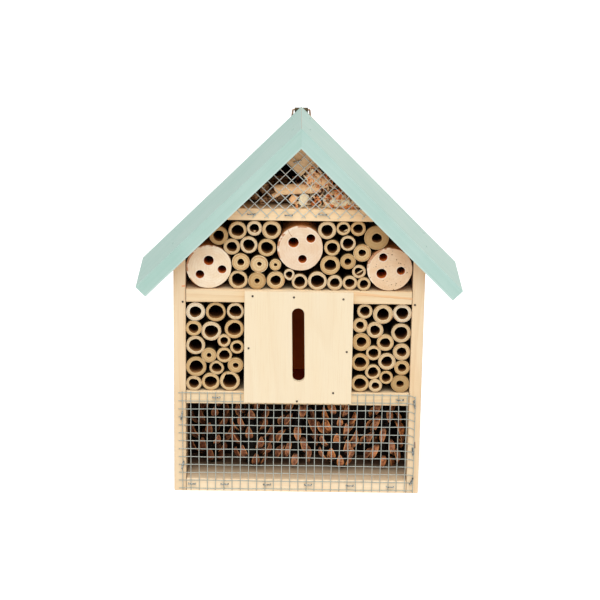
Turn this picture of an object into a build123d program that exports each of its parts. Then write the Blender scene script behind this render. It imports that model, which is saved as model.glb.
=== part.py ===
from build123d import *
import os

# Insect hotel for a garden: a small pine house with a painted gable roof. Bamboo canes and drilled
# logs fill its upper rooms, the middle room is a closed chamber behind a slotted panel, pine cones
# lie behind wire mesh below, and bark and wood wool behind wire mesh under the roof.
# Millimetres. +Z is up and -Y is the front. The origin is the middle of the base.

# Carcass
body_width = 187.0
body_depth = 56.0
wall = 9.0
board = 10.0
attic_board = 9.0
back_ply = 4.0
lower_shelf_z = 71.8
middle_shelf_z = 152.6
attic_shelf_z = 216.3

# Roof, two boards at 45 degrees that meet in a mitre at the ridge
ridge_inner_z = 274.0
roof_board = 10.7
roof_slope = 171.0
roof_overhang = 14.0
roof_rear_overhang = 2.8
batten_side = 17.0

# Slotted panel and the chamber behind it
panel_width = 81.0
panel_ply = 4.0
panel_low_z = 74.3
slot_width = 9.2
slot_length = 58.4
slot_z = 120.7
slot_lean = 1.2
chamber_half = 40.0
divider = 4.0

# Welded mesh, nails and staples
mesh_pitch = 6.35
mesh_rise = 6.5
wire = 0.7
mesh_thick = 1.4
mesh_low_z = 2.4
mesh_columns = 29
mesh_rows = 13
nail_head = 2.0
head_thick = 0.4
staple_crown = 6.0
staple_wire = 0.7

# Hanger on the back of the ridge
hanger_width = 10.0
hanger_sheet = 0.8
hanger_low_z = 258.3
hanger_axis_z = 286.3
ring_wire = 1.4
ring_play = 0.05
ring_top = 12.6
ring_bottom = 17.0
ring_drop = 15.0

inner_half = body_width / 2 - wall
front = -body_depth / 2
rear = body_depth / 2
roof_rear = rear + roof_rear_overhang
inside_rear = rear - back_ply
floor_top = board
lower_shelf_top = lower_shelf_z + board
middle_shelf_top = middle_shelf_z + board
attic_shelf_top = attic_shelf_z + attic_board
half_root = 0.5**0.5
ridge_outer_z = ridge_inner_z + roof_board / half_root

front_plane = Plane.XZ.offset(-front)
rear_plane = Plane.XZ.offset(-rear)
roof_rear_plane = Plane.XZ.offset(-roof_rear)
inside_depth = inside_rear - front

os.makedirs("parts", exist_ok=True)


def save(piece, label):
    """Label one finished piece and write it as its own STEP file."""
    piece.part.label = label
    export_step(piece.part, f"parts/{label}.step")


def under_roof(x):
    """Height of the roof's underside at the distance x from the middle."""
    return ridge_inner_z - abs(x)


# Side walls, their tops cut at 45 degrees to carry the roof boards
for side, label in ((-1, "left_side_wall"), (1, "right_side_wall")):
    inner = side * inner_half
    outer = side * body_width / 2
    with BuildPart() as side_wall:
        with BuildSketch(front_plane):
            Polygon((inner, 0), (outer, 0), (outer, under_roof(outer)), (inner, under_roof(inner)), align=None)
        extrude(amount=-body_depth)
    save(side_wall, label)

# Floor and the two full-width shelves between the walls
for label, low_z in (
    ("floor_board", 0),
    ("lower_shelf", lower_shelf_z),
    ("middle_shelf", middle_shelf_z),
):
    with BuildPart() as shelf:
        with BuildSketch(front_plane):
            with Locations((0, low_z + board / 2)):
                Rectangle(2 * inner_half, board)
        extrude(amount=-inside_depth)
    save(shelf, label)

# Attic shelf, its ends cut to the slope of the roof
with BuildPart() as attic_shelf:
    low_half = ridge_inner_z - attic_shelf_z
    high_half = ridge_inner_z - attic_shelf_top
    with BuildSketch(front_plane):
        Polygon(
            (-low_half, attic_shelf_z),
            (low_half, attic_shelf_z),
            (high_half, attic_shelf_top),
            (-high_half, attic_shelf_top),
            align=None,
        )
    extrude(amount=-inside_depth)
save(attic_shelf, "attic_shelf")

# Back panel of thin plywood, let in between the walls under the roof and cut round the ridge batten
batten_half = batten_side * half_root
with BuildPart() as back_panel:
    with BuildSketch(rear_plane):
        Polygon(
            (-inner_half, 0),
            (inner_half, 0),
            (inner_half, under_roof(inner_half)),
            (batten_half, under_roof(batten_half)),
            (0, ridge_inner_z - 2 * batten_half),
            (-batten_half, under_roof(batten_half)),
            (-inner_half, under_roof(inner_half)),
            align=None,
        )
    extrude(amount=back_ply)
save(back_panel, "back_panel")

# Roof boards, square at the eaves and mitred at the ridge, reaching just past the back
eave_x = roof_slope * half_root
eave_z = ridge_outer_z - eave_x
eave_cut = roof_board * half_root
for side, label in ((-1, "left_roof_board"), (1, "right_roof_board")):
    with BuildPart() as roof_side:
        with BuildSketch(roof_rear_plane):
            Polygon(
                (0, ridge_inner_z),
                (0, ridge_outer_z),
                (side * eave_x, eave_z),
                (side * (eave_x - eave_cut), eave_z - eave_cut),
                align=None,
            )
        extrude(amount=roof_rear - front + roof_overhang)
        eave_corner = roof_side.edges().filter_by(Axis.Y).group_by(Axis.X)[0 if side < 0 else -1]
        fillet(eave_corner, radius=1.0)
    save(roof_side, label)

# Square batten in the ridge that the roof boards are nailed to, its end flush with theirs at the back
with BuildPart() as ridge_batten:
    with BuildSketch(front_plane):
        with Locations((0, ridge_inner_z - batten_half)):
            Rectangle(batten_side, batten_side, rotation=45)
    extrude(amount=front - roof_rear)
save(ridge_batten, "ridge_batten")

# Dividers at the two sides of the closed chamber
for side, label in ((-1, "left_divider"), (1, "right_divider")):
    with BuildPart() as chamber_side:
        with BuildSketch(front_plane):
            with Locations((side * (chamber_half - divider / 2), (lower_shelf_top + middle_shelf_z) / 2)):
                Rectangle(divider, middle_shelf_z - lower_shelf_top)
        extrude(amount=-inside_depth)
    save(chamber_side, label)

# Front panel over the chamber, with the entry slot cut a little askew
with BuildPart() as front_panel:
    with BuildSketch(front_plane):
        with Locations((0, (panel_low_z + middle_shelf_top) / 2)):
            Rectangle(panel_width, middle_shelf_top - panel_low_z)
        with Locations((0, slot_z)):
            SlotOverall(slot_length, slot_width, rotation=90 + slot_lean, mode=Mode.SUBTRACT)
    extrude(amount=panel_ply)
save(front_panel, "front_panel")

# Lower mesh, stapled over the cone room, its two top rows cut away where the panel stands
with BuildPart() as lower_mesh:
    mesh_half = (mesh_columns - 1) * mesh_pitch / 2
    mesh_height = (mesh_rows - 1) * mesh_rise
    with BuildSketch(front_plane):
        with Locations((0, mesh_low_z + mesh_height / 2)):
            with GridLocations(mesh_pitch, 0, mesh_columns, 1):
                Rectangle(wire, mesh_height + wire)
            with GridLocations(0, mesh_rise, 1, mesh_rows):
                Rectangle(2 * mesh_half + wire, wire)
        with Locations((0, panel_low_z - 1.0)):
            Rectangle(panel_width + 1.0, 20, align=(Align.CENTER, Align.MIN), mode=Mode.SUBTRACT)
    extrude(amount=mesh_thick)
save(lower_mesh, "lower_mesh")

# Attic mesh, its wires along the two slopes, cut off level over the attic shelf. The wires of
# one direction start half a pitch from the roof.
attic_mesh_low_z = 218.6
attic_mesh_top_z = ridge_inner_z - 1.8
attic_mesh_drop = attic_mesh_top_z - attic_mesh_low_z
with BuildPart() as attic_mesh:
    wire_run = attic_mesh_drop / half_root
    half_run = attic_mesh_drop / 2
    wires_each_way = int(wire_run / mesh_pitch) + 1
    with BuildSketch(front_plane):
        for count in range(wires_each_way):
            for side, shift in ((-1, 0.5), (1, 0)):
                step = (wire / 2 + (count + shift) * mesh_pitch) * half_root
                middle = (side * (step - half_run), attic_mesh_top_z - step - half_run)
                with Locations(middle):
                    Rectangle(wire_run, wire, rotation=side * 45)
        Polygon(
            (0, attic_mesh_top_z),
            (attic_mesh_drop, attic_mesh_low_z),
            (-attic_mesh_drop, attic_mesh_low_z),
            align=None,
            mode=Mode.INTERSECT,
        )
    extrude(amount=mesh_thick)
save(attic_mesh, "attic_mesh")


def staples(places, label):
    """Square-wire staples over the mesh. Each place is (x, z, turn), the turn in degrees."""
    with BuildPart() as row:
        for x, z, turn in places:
            with BuildSketch(front_plane.offset(mesh_thick)):
                with Locations((x, z)):
                    Rectangle(staple_crown, staple_wire, rotation=turn)
            extrude(amount=staple_wire)
    save(row, label)


# Staples of the lower mesh, into the floor, the lower shelf and the walls
staples(
    [
        (-80, 6.3, 0),
        (-55, 6.3, 0),
        (-22.5, 6.3, 0),
        (9, 6.5, 0),
        (41, 6.2, 0),
        (72, 5.6, 0),
        (-61.5, 77.2, 0),
        (77.5, 77, 0),
        (-87.6, 62, 80),
        (-87, 21.5, 78),
        (88.6, 73.5, 100),
        (88.6, 35, 96),
        (88.2, 10.5, 70),
    ],
    "lower_mesh_staples",
)

# Staples of the attic mesh, into the attic shelf and the end of the ridge batten
staples([(-36, 221.3, 4), (-8.5, 220.8, 2), (16.5, 221.6, -3), (-2.6, 261.7, 20)], "attic_mesh_staples")


def nail_heads(plane, places, label):
    """Flat nail heads standing on a surface. Each place is a point on the plane."""
    with BuildPart() as row:
        with BuildSketch(plane):
            with Locations(*places):
                Circle(nail_head / 2)
        extrude(amount=head_thick)
    save(row, label)


# Nails through the panel into the shelves and the dividers
nail_heads(
    front_plane.offset(panel_ply),
    [(-34.5, 159), (-3.8, 158.5), (33, 157.4), (-37.3, 118), (36.3, 116), (26.7, 83), (-0.5, 76)],
    "front_panel_nails",
)

# Nails at the front edges of the walls, level with the underside of the middle shelf
nail_heads(front_plane, [(-86.6, 152.6), (86.5, 152.4)], "wall_nails")

# Nails through the back panel into the floor, the shelves and the walls' edges
nail_heads(
    Plane(origin=(0, rear, 0), x_dir=(-1, 0, 0), z_dir=(0, 1, 0)),
    [(side * x, z) for side in (-1, 1) for x, z in ((20, 5), (68, 5), (55, 76.8), (55, 157.6), (30, 220.8))],
    "back_panel_nails",
)

# Nails through the roof boards into the walls and the ridge batten
for side, label in ((-1, "left_roof_nails"), (1, "right_roof_nails")):
    slope = Plane(
        origin=(0, 0, ridge_outer_z),
        x_dir=(side * half_root, 0, -half_root),
        z_dir=(side * half_root, 0, half_root),
    )
    nail_heads(
        slope,
        [(down, across * 18) for down in (9, 133) for across in (-1, 1)],
        label,
    )

# Strap of the hanger: a flat plate screwed to the batten's end, rolled into an eye at its top
eye_inner = ring_wire / 2 + ring_play
eye_outer = eye_inner + hanger_sheet
eye_y = roof_rear + eye_outer
with BuildPart() as hanger_strap:
    with BuildSketch(Plane.YZ.offset(-hanger_width / 2)):
        with Locations((eye_y, hanger_axis_z)):
            Circle(eye_outer)
        with Locations((roof_rear + hanger_sheet / 2, (hanger_low_z + hanger_axis_z) / 2)):
            Rectangle(hanger_sheet, hanger_axis_z - hanger_low_z)
        with Locations((eye_y, hanger_axis_z)):
            Circle(eye_inner, mode=Mode.SUBTRACT)
    extrude(amount=hanger_width)
save(hanger_strap, "hanger_strap")

# Wire ring that hangs through the strap's eye and flips up to go over a nail
with BuildPart() as hanger_ring:
    with BuildLine(Plane.XZ.offset(-eye_y)) as ring_path:
        FilletPolyline(
            (-ring_top / 2, hanger_axis_z),
            (ring_top / 2, hanger_axis_z),
            (ring_bottom / 2, hanger_axis_z - ring_drop),
            (-ring_bottom / 2, hanger_axis_z - ring_drop),
            close=True,
            radius=[0.9, 0.9, 3.5, 3.5],
        )
    with BuildSketch(Plane(origin=ring_path.line @ 0, z_dir=ring_path.line % 0)):
        Circle(ring_wire / 2)
    sweep()
save(hanger_ring, "hanger_ring")

# Round-headed screws of the strap
with BuildPart() as hanger_screws:
    with BuildSketch(Plane.XZ.offset(-roof_rear - hanger_sheet)):
        with Locations((0, 266.8), (0, 261.3)):
            Circle(2.2)
    extrude(amount=-1.3)
    rim = hanger_screws.faces().filter_by(Axis.Y).group_by(Axis.Y)[-1].edges()
    fillet(rim, radius=0.7)
save(hanger_screws, "hanger_screws")

# Drilled log slices. Each hole is (x, z, diameter), measured from the log's middle.
log_depth = 50.0
hole_depth = 44.0
logs = [
    ("left_log", -67.3, 179.8, 34.0, 1.2, [(0, 4.8, 7.4), (9.9, -2, 6.4), (-6.5, -6, 6.4)]),
    ("middle_log", 0.3, 195.0, 34.6, 0.8, [(-5, 4.4, 7.7), (7.8, 7.6, 6.6), (1.8, -8.3, 6.4)]),
    ("right_log", 66.9, 179.8, 34.0, 0.8, [(-5, 9.1, 6.2), (-5.9, -3.6, 7.6), (8.4, -1.2, 6.2)]),
]
for label, x, z, diameter, recess, holes in logs:
    with BuildPart() as log:
        log_face = Plane(origin=(x, front + recess, z), x_dir=(1, 0, 0), z_dir=(0, -1, 0))
        with BuildSketch(log_face):
            Circle(diameter / 2)
        extrude(amount=-log_depth)
        for hole_x, hole_z, hole_diameter in holes:
            with BuildSketch(log_face):
                with Locations((hole_x, hole_z)):
                    Circle(hole_diameter / 2)
            extrude(amount=-hole_depth, mode=Mode.SUBTRACT)
    save(log, label)

# Bamboo canes, cut to the depth of the rooms. Each one is (x, z, diameter over its rough rim, bore).
cane_rows = {
    "upper_left_canes_top": [
        (-59.9, 204, 14, 8.2),
        (-46, 207.9, 13.4, 9),
        (-33.6, 209.9, 11.2, 7),
        (-21, 208.5, 14.1, 9),
    ],
    "upper_left_canes_high": [(-50.2, 195.4, 12.2, 7.7), (-37.7, 197.1, 12.8, 8.7), (-24.3, 194.9, 13.4, 9)],
    "upper_left_canes_low": [(-43.5, 183.8, 13.2, 5.3), (-29.9, 182.2, 13.2, 3.5), (-17.9, 181.9, 8.6, 2.7)],
    "upper_left_canes_base": [(-45.4, 169.9, 14.1, 9.8), (-31.4, 169.3, 13.1, 4), (-17.5, 169.7, 13.7, 7.8)],
    "upper_middle_canes": [(-7.6, 174.7, 8, 5), (0.3, 168.8, 12, 8.3), (13.4, 169.9, 14.1, 9.8)],
    "upper_right_canes_top": [
        (20, 208.9, 13.5, 8.8),
        (32, 210.6, 10.3, 6.8),
        (42.9, 210.3, 11.2, 7.1),
        (56.6, 203.8, 18.2, 7.3),
    ],
    "upper_right_canes_high": [(24, 195.6, 11.9, 8), (35.6, 199, 11.5, 8), (46.3, 192, 13.2, 5.5)],
    "upper_right_canes_low": [(22.7, 182, 14.8, 8.7), (35.9, 185.1, 11.6, 5.2), (44.2, 177.2, 10.2, 6.5)],
    "upper_right_canes_base": [(26.4, 168.6, 11.6, 7.3), (37.6, 168.3, 11, 7), (48, 167.9, 10.1, 6.5)],
    "left_canes_row_1": [(-77.1, 144.7, 14.3, 8.8), (-62, 144.4, 14.9, 11), (-47.3, 145.3, 12.9, 9)],
    "left_canes_row_2": [(-78.5, 131.6, 12, 7.5), (-65.4, 129.2, 14.8, 10), (-48.1, 131.3, 14.5, 10)],
    "left_canes_row_3": [(-77.1, 118.2, 14.4, 10), (-55.8, 121.7, 9.8, 6), (-46, 116.9, 10.3, 6.7)],
    "left_canes_row_4": [(-67.1, 110.2, 11.4, 3.7), (-55.6, 110.3, 11.7, 8)],
    "left_canes_row_5": [(-76.7, 101.1, 15.3, 10.2), (-61.2, 100.3, 11.2, 7.5), (-47.1, 102.4, 11.8, 4.3)],
    "left_canes_row_6": [(-78.4, 87.7, 11.8, 7.6), (-65.8, 88.9, 13.6, 9.2), (-51.3, 89.7, 15, 10.8)],
    "right_canes_row_1": [(49.3, 146.4, 11.5, 7.5), (62.9, 144.3, 15, 9.3), (77.4, 145, 14.2, 9.2)],
    "right_canes_row_2": [(46, 135.2, 11.3, 6), (57.3, 131.8, 12.5, 7.6), (76.9, 129.4, 14.9, 10)],
    "right_canes_row_3": [(47.3, 122, 14, 7.7), (65.2, 121.9, 12.8, 7.8), (77.7, 114.4, 13.1, 7.4)],
    "right_canes_row_4": [(56.6, 113.4, 11.3, 7.5), (46.8, 106, 13.5, 8.8), (66.9, 106.6, 13.2, 8.3)],
    "right_canes_row_5": [(56.5, 98.2, 11.7, 7.9), (66.6, 94.1, 10.2, 6.9), (78.4, 101.8, 11.7, 6.4)],
    "right_canes_row_6": [(47, 88.9, 13.2, 8.8), (58.6, 87.5, 10.2, 5.7), (77.4, 88.8, 13.8, 5.6)],
}
cane_steps = [0.6, 1.4, 0.9, 1.8]
cane_length = 49.0
cane_play = 0.3
for label, canes in cane_rows.items():
    with BuildPart() as bundle:
        for number, (x, z, outer, bore) in enumerate(canes):
            recess = cane_steps[(number + len(label)) % len(cane_steps)]
            with BuildSketch(front_plane.offset(-recess)):
                with Locations((x, z)):
                    Circle((outer - cane_play) / 2)
                    Circle(bore / 2, mode=Mode.SUBTRACT)
            extrude(amount=-cane_length)
    save(bundle, label)

# Pine cones standing in the lower room. Each one is (x, y, z of its foot, lean, length, radius).
cones = [
    ("pine_cone_1", -68, 5, 11.6, 4, 54, 15),
    ("pine_cone_2", -34, -3, 11.6, -4, 56, 15.5),
    ("pine_cone_3", -1, 6, 11.6, 4, 57, 15.5),
    ("pine_cone_4", 33, -4, 11.6, -4, 55, 15),
    ("pine_cone_5", 67, 5, 11.4, 3, 55, 15.5),
]
for label, x, y, z, lean, length, radius in cones:
    with BuildPart() as cone:
        tilt_x = Vector(1, 0, 0).rotate(Axis.Y, lean)
        cone_plane = Plane(origin=(x, y, z), x_dir=tilt_x, z_dir=(0, -1, 0))
        with BuildSketch(cone_plane):
            with BuildLine():
                Bezier((0, 0), (1.3 * radius, 0), (1.4 * radius, 0.75 * length), (0, length))
                Line((0, length), (0, 0))
            make_face()
        revolve(axis=Axis(cone_plane.origin, cone_plane.y_dir))
    save(cone, label)

# Bark pieces in the attic. Each one is (x, y, z, length, depth, height, turn about +Z).
bark = [
    ("bark_piece_1", -17.5, -8, 231.2, 21, 20, 11, 8),
    ("bark_piece_2", -35.5, 2, 228.2, 8, 24, 5, -4),
    ("bark_piece_3", -16, 12, 233.7, 18, 12, 16, -5),
]
for label, x, y, z, length, depth, height, turn in bark:
    with BuildPart() as bark_piece:
        bark_plane = Plane(Location((x, y, z - height / 2), (0, 0, turn)))
        with BuildSketch(bark_plane):
            RectangleRounded(length, depth, 0.3 * min(length, depth))
        extrude(amount=height)
        fillet(bark_piece.faces().sort_by(Axis.Z)[-1].edges(), radius=2.5)
    save(bark_piece, label)

# Wood wool heaped at the right of the attic
with BuildPart() as wood_wool:
    with BuildSketch(front_plane.offset(-4)):
        Polygon(
            (-4, attic_shelf_top),
            (38, attic_shelf_top),
            (34, 233),
            (21, 246),
            (11, 249),
            (0, 245),
            (-4, 236),
            align=None,
        )
    extrude(amount=-(inside_depth - 6))
    fillet(wood_wool.edges().filter_by(Axis.Y).group_by(Axis.Z)[1:], radius=2.0)
save(wood_wool, "wood_wool")
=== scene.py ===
import math

import bmesh
import bpy
import numpy as np
from mathutils import Matrix, Vector


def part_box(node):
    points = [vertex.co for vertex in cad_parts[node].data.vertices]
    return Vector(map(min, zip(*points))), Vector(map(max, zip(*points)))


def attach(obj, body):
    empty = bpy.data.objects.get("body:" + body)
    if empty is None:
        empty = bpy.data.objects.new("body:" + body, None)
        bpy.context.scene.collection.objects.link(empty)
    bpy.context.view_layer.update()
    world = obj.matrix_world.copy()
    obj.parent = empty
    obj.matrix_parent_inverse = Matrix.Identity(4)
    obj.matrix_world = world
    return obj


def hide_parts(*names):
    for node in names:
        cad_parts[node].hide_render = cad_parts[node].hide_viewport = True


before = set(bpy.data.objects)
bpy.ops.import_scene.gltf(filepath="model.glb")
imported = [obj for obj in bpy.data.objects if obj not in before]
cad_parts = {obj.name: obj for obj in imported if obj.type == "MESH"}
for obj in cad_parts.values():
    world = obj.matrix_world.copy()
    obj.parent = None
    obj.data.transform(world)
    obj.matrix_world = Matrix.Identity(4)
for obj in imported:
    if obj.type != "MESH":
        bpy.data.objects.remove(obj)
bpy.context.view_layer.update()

# ---------------------------------------------------------------- Camera
# A long lens looks down at the front of the house from a little above its ridge.
# The house stands almost square to it, leaning under one degree to the right.
camera_at = Vector((-0.0079, -1.4438, 0.6174))
down, turn, lean = (math.radians(angle) for angle in (18.08, 0.35, 0.85))
ahead = Vector((math.sin(turn) * math.cos(down), math.cos(turn) * math.cos(down), -math.sin(down)))
level = Vector((math.cos(turn), -math.sin(turn), 0))
upright = level.cross(ahead)
camera_right = math.cos(lean) * level + math.sin(lean) * upright
camera_up = math.cos(lean) * upright - math.sin(lean) * level
camera = bpy.data.objects.new("camera", bpy.data.cameras.new("camera"))
bpy.context.scene.collection.objects.link(camera)
axes_across = Matrix((camera_right, camera_up, -ahead)).transposed().to_4x4()
camera.matrix_world = Matrix.Translation(camera_at) @ axes_across
camera.data.lens = 120
camera.data.sensor_width = 36
camera.data.clip_start = 0.05
camera.data.clip_end = 50
bpy.context.scene.camera = camera

# ---------------------------------------------------------------- Studio
# A pale floor that runs on to the horizon, an even white sky and one wide soft sun from
# the front, high up and a little to the left.
bpy.context.scene.view_settings.view_transform = "Standard"
sky = bpy.data.worlds.new("sky")
sky.use_nodes = True
sky.node_tree.nodes["Background"].inputs["Color"].default_value = (1, 1, 1, 1)
sky.node_tree.nodes["Background"].inputs["Strength"].default_value = 0.42
bpy.context.scene.world = sky
sun = bpy.data.objects.new("soft_sun", bpy.data.lights.new("soft_sun", "SUN"))
sun.data.energy = 2.2
sun.data.angle = math.radians(50)
sun.rotation_euler = Vector((0.02, 1.0, -1.55)).to_track_quat("-Z", "Y").to_euler()
bpy.context.scene.collection.objects.link(sun)


def add_node(tree, kind, *sockets, **settings):
    """Adds one shader node. Each socket is (name or number, value or output of another node)."""
    made = tree.nodes.new(kind)
    for name, value in settings.items():
        setattr(made, name, value)
    for name, value in sockets:
        if isinstance(value, bpy.types.NodeSocket):
            tree.links.new(value, made.inputs[name])
        else:
            made.inputs[name].default_value = value
    return made


def maths(tree, operation, first, second=0.0):
    """The output of a Math node."""
    return add_node(tree, "ShaderNodeMath", (0, first), (1, second), operation=operation).outputs[0]


def new_material(name):
    """An empty material with its output and one Principled BSDF. Returns material, tree and shader."""
    material = bpy.data.materials.new(name)
    material.use_nodes = True
    tree = material.node_tree
    shader = tree.nodes["Principled BSDF"]
    shader.inputs["Specular IOR Level"].default_value = 0.2
    return material, tree, shader


floor_material, tree, shader = new_material("studio_floor")
shader.inputs["Base Color"].default_value = (0.93, 0.93, 0.93, 1)
shader.inputs["Roughness"].default_value = 0.9
shader.inputs["Emission Color"].default_value = (1, 1, 1, 1)
seen = add_node(tree, "ShaderNodeLightPath").outputs["Is Camera Ray"]
tree.links.new(maths(tree, "MULTIPLY", seen, 0.4), shader.inputs["Emission Strength"])
floor = bpy.data.objects.new("studio_floor", bpy.data.meshes.new("studio_floor"))
reach = 12
corners = [(-reach, -reach, 0), (reach, -reach, 0), (reach, reach, 0), (-reach, reach, 0)]
floor.data.from_pydata(corners, [], [(0, 1, 2, 3)])
floor.data.materials.append(floor_material)
bpy.context.scene.collection.objects.link(floor)

# ---------------------------------------------------------------- Carcass boards
# Planed pine, sawn to length and nailed: two side walls with slanted tops, the floor,
# three shelves and the ridge batten. Their long edges are only just eased.


def srgb(red, green, blue):
    """A colour read on the 0 to 255 screen scale, as the linear colour that shaders use."""
    share = np.array([red, green, blue]) / 255
    linear = np.where(share <= 0.04045, share / 12.92, ((share + 0.055) / 1.055) ** 2.4)
    return (*linear.tolist(), 1.0)


def times(tree, first, second):
    """The product of two values."""
    return maths(tree, "MULTIPLY", first, second)


def vector_maths(tree, operation, first, second=(0, 0, 0), out=0):
    """The output of a Vector Math node."""
    return add_node(tree, "ShaderNodeVectorMath", (0, first), (1, second), operation=operation).outputs[out]


def axes(tree, vector):
    """The three parts of a vector, by name."""
    return add_node(tree, "ShaderNodeSeparateXYZ", (0, vector)).outputs


def blend(tree, share, first, second, kind="MIX"):
    """The colour output of a Mix Color node, from first to second by share."""
    made = add_node(
        tree, "ShaderNodeMix", (0, share), (6, first), (7, second), data_type="RGBA", blend_type=kind
    )
    return made.outputs[2]


def grey_ramp(tree, value, low, high):
    """Value spread so that low becomes 0 and high becomes 1."""
    made = add_node(tree, "ShaderNodeMapRange", ("Value", value), ("From Min", low), ("From Max", high))
    return made.outputs["Result"]


def tint(tree, colour, ink, share, value, low=None, high=None):
    """The colour turned to ink by share times value, spread first from low to high if they are given."""
    if low is not None:
        value = grey_ramp(tree, value, low, high)
    return blend(tree, times(tree, value, share), colour, ink)


def noise(tree, vector, scale, detail=3.0, roughness=0.55):
    """The value output of a Noise Texture, from 0 to 1."""
    sockets = ("Vector", vector), ("Scale", scale), ("Detail", detail), ("Roughness", roughness)
    return add_node(tree, "ShaderNodeTexNoise", *sockets).outputs["Fac"]


def object_place(tree, turned=(0, 0, 0), stretched=(1, 1, 1)):
    """Object coordinates in metres, turned and stretched by a Mapping node."""
    place = add_node(tree, "ShaderNodeTexCoord").outputs["Object"]
    made = add_node(tree, "ShaderNodeMapping", ("Vector", place), ("Rotation", turned), ("Scale", stretched))
    return made.outputs["Vector"]


def surface(tree, shader, colour, roughness, height, distance, strength):
    """Feeds the shader a colour, a roughness (a number or a value) and a relief of so many metres."""
    tree.links.new(colour, shader.inputs["Base Color"])
    if isinstance(roughness, float):
        shader.inputs["Roughness"].default_value = roughness
    else:
        tree.links.new(roughness, shader.inputs["Roughness"])
    bump = add_node(
        tree, "ShaderNodeBump", ("Height", height), ("Distance", distance), ("Strength", strength)
    )
    tree.links.new(bump.outputs["Normal"], shader.inputs["Normal"])


def new_group(name, vectors, numbers=()):
    """An empty shader node group. Returns it and its inputs by name."""
    group = bpy.data.node_groups.new(name, "ShaderNodeTree")
    for kind, sockets in (("NodeSocketVector", vectors), ("NodeSocketFloat", numbers)):
        for socket in sockets:
            group.interface.new_socket(socket, in_out="INPUT", socket_type=kind)
    return group, group.nodes.new("NodeGroupInput").outputs


def put_out(group, values):
    """Gives the group an output for each named value."""
    for name in values:
        group.interface.new_socket(name, in_out="OUTPUT", socket_type="NodeSocketFloat")
    out = group.nodes.new("NodeGroupOutput")
    for name, value in values.items():
        group.links.new(value, out.inputs[name])
    return group


def wood_group():
    """Growth rings and fibres of sawn softwood whose grain runs along local Z.

    Rings are the distance from the tree's heart line, at Heart from the origin, bent by slow
    noise and divided by the ring width, so each board cuts them where it stands. Late wood is
    the dark end of each ring. Fibres are noise stretched forty times along the grain.
    """
    group, given = new_group("sawn_softwood", ("Place", "Heart"), ("Ring Width", "Bend"))
    slow = vector_maths(group, "MULTIPLY", given["Place"], (14, 14, 2.4))
    bend = maths(group, "SUBTRACT", noise(group, slow, 1.0, 2.0), 0.5)
    bend = times(group, bend, times(group, given["Bend"], 4.0))
    off = vector_maths(group, "SUBTRACT", given["Place"], given["Heart"])
    flat = vector_maths(group, "MULTIPLY", off, (1, 1, 0.0))
    radius = vector_maths(group, "LENGTH", flat, out="Value")
    turns = maths(group, "DIVIDE", maths(group, "ADD", radius, bend), given["Ring Width"])
    ring = maths(group, "FRACT", turns)
    late = times(group, maths(group, "POWER", ring, 3.0), grey_ramp(group, ring, 1.0, 0.9))
    fine = vector_maths(group, "MULTIPLY", given["Place"], (1900, 1900, 45))
    fibre = noise(group, fine, 1.0, 3.0, 0.6)
    broad = vector_maths(group, "MULTIPLY", given["Place"], (60, 60, 9))
    height = maths(group, "ADD", times(group, late, 0.35), times(group, fibre, 0.65))
    blotch = noise(group, broad, 1.0, 3.0)
    return put_out(group, {"Late Wood": late, "Fibre": fibre, "Blotch": blotch, "Height": height})


sawn_softwood = wood_group()
inner_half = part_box("floor_board")[1][0]
back_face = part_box("back_panel")[0][1]
ridge_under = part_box("ridge_batten")[1][2]


def inside_group():
    """Share of painted shade on faces inside the rooms: 0 at the front edge of the boards, 1 deep inside.

    It grows with y from the front, only between the side walls, in front of the back panel's
    own front face and under the roof.
    """
    hair = 0.00005
    group, given = new_group("inside_painted_shade", ("Place",))
    part = axes(group, given["Place"])
    aside = maths(group, "ABSOLUTE", part["X"])
    between = maths(group, "LESS_THAN", aside, inner_half + hair)
    before = maths(group, "LESS_THAN", part["Y"], back_face + 4 * hair)
    below = maths(group, "LESS_THAN", maths(group, "ADD", aside, part["Z"]), ridge_under + hair)
    deep = grey_ramp(group, part["Y"], -0.0272, 0.006)
    painted_shade = times(group, times(group, between, before), times(group, below, deep))
    return put_out(group, {"Painted Shade": painted_shade})


inside_painted_shade = inside_group()
# Painted shade: the colour that faces deep inside the rooms darken to.
shade_brown = srgb(74, 46, 28)


def inside_shaded(tree, colour, share=0.93, painted_shade=shade_brown):
    """The colour going brown and dark towards the back of the rooms, as painted shade."""
    made = add_node(tree, "ShaderNodeGroup", ("Place", object_place(tree)), node_tree=inside_painted_shade)
    return tint(tree, colour, painted_shade, share, made.outputs["Painted Shade"])


def stroke_group():
    """Mask of one straight stroke on a front face, 1 in its middle and 0 outside it.

    Its start, its turn about y and its size (length, 1, half width) place it by a Mapping node,
    and slow noise bends it by Wander.
    """
    group, given = new_group("stroke_mask", ("Place", "Start", "Turn", "Size"), ("Wander",))
    aside = maths(group, "SUBTRACT", noise(group, given["Place"], 260.0, 2.0), 0.5)
    moved = vector_maths(group, "ADD", given["Place"], times(group, aside, given["Wander"]))
    sockets = ("Vector", moved), ("Location", given["Start"]), ("Rotation", given["Turn"])
    made = add_node(group, "ShaderNodeMapping", *sockets, ("Scale", given["Size"]), vector_type="TEXTURE")
    part = axes(group, made.outputs[0])
    across = grey_ramp(group, maths(group, "ABSOLUTE", part["Z"]), 1.0, 0.35)
    along = maths(group, "ABSOLUTE", maths(group, "SUBTRACT", part["X"], 0.5))
    return put_out(group, {"Mask": times(group, across, grey_ramp(group, along, 0.5, 0.4))})


stroke_mask = stroke_group()


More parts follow.
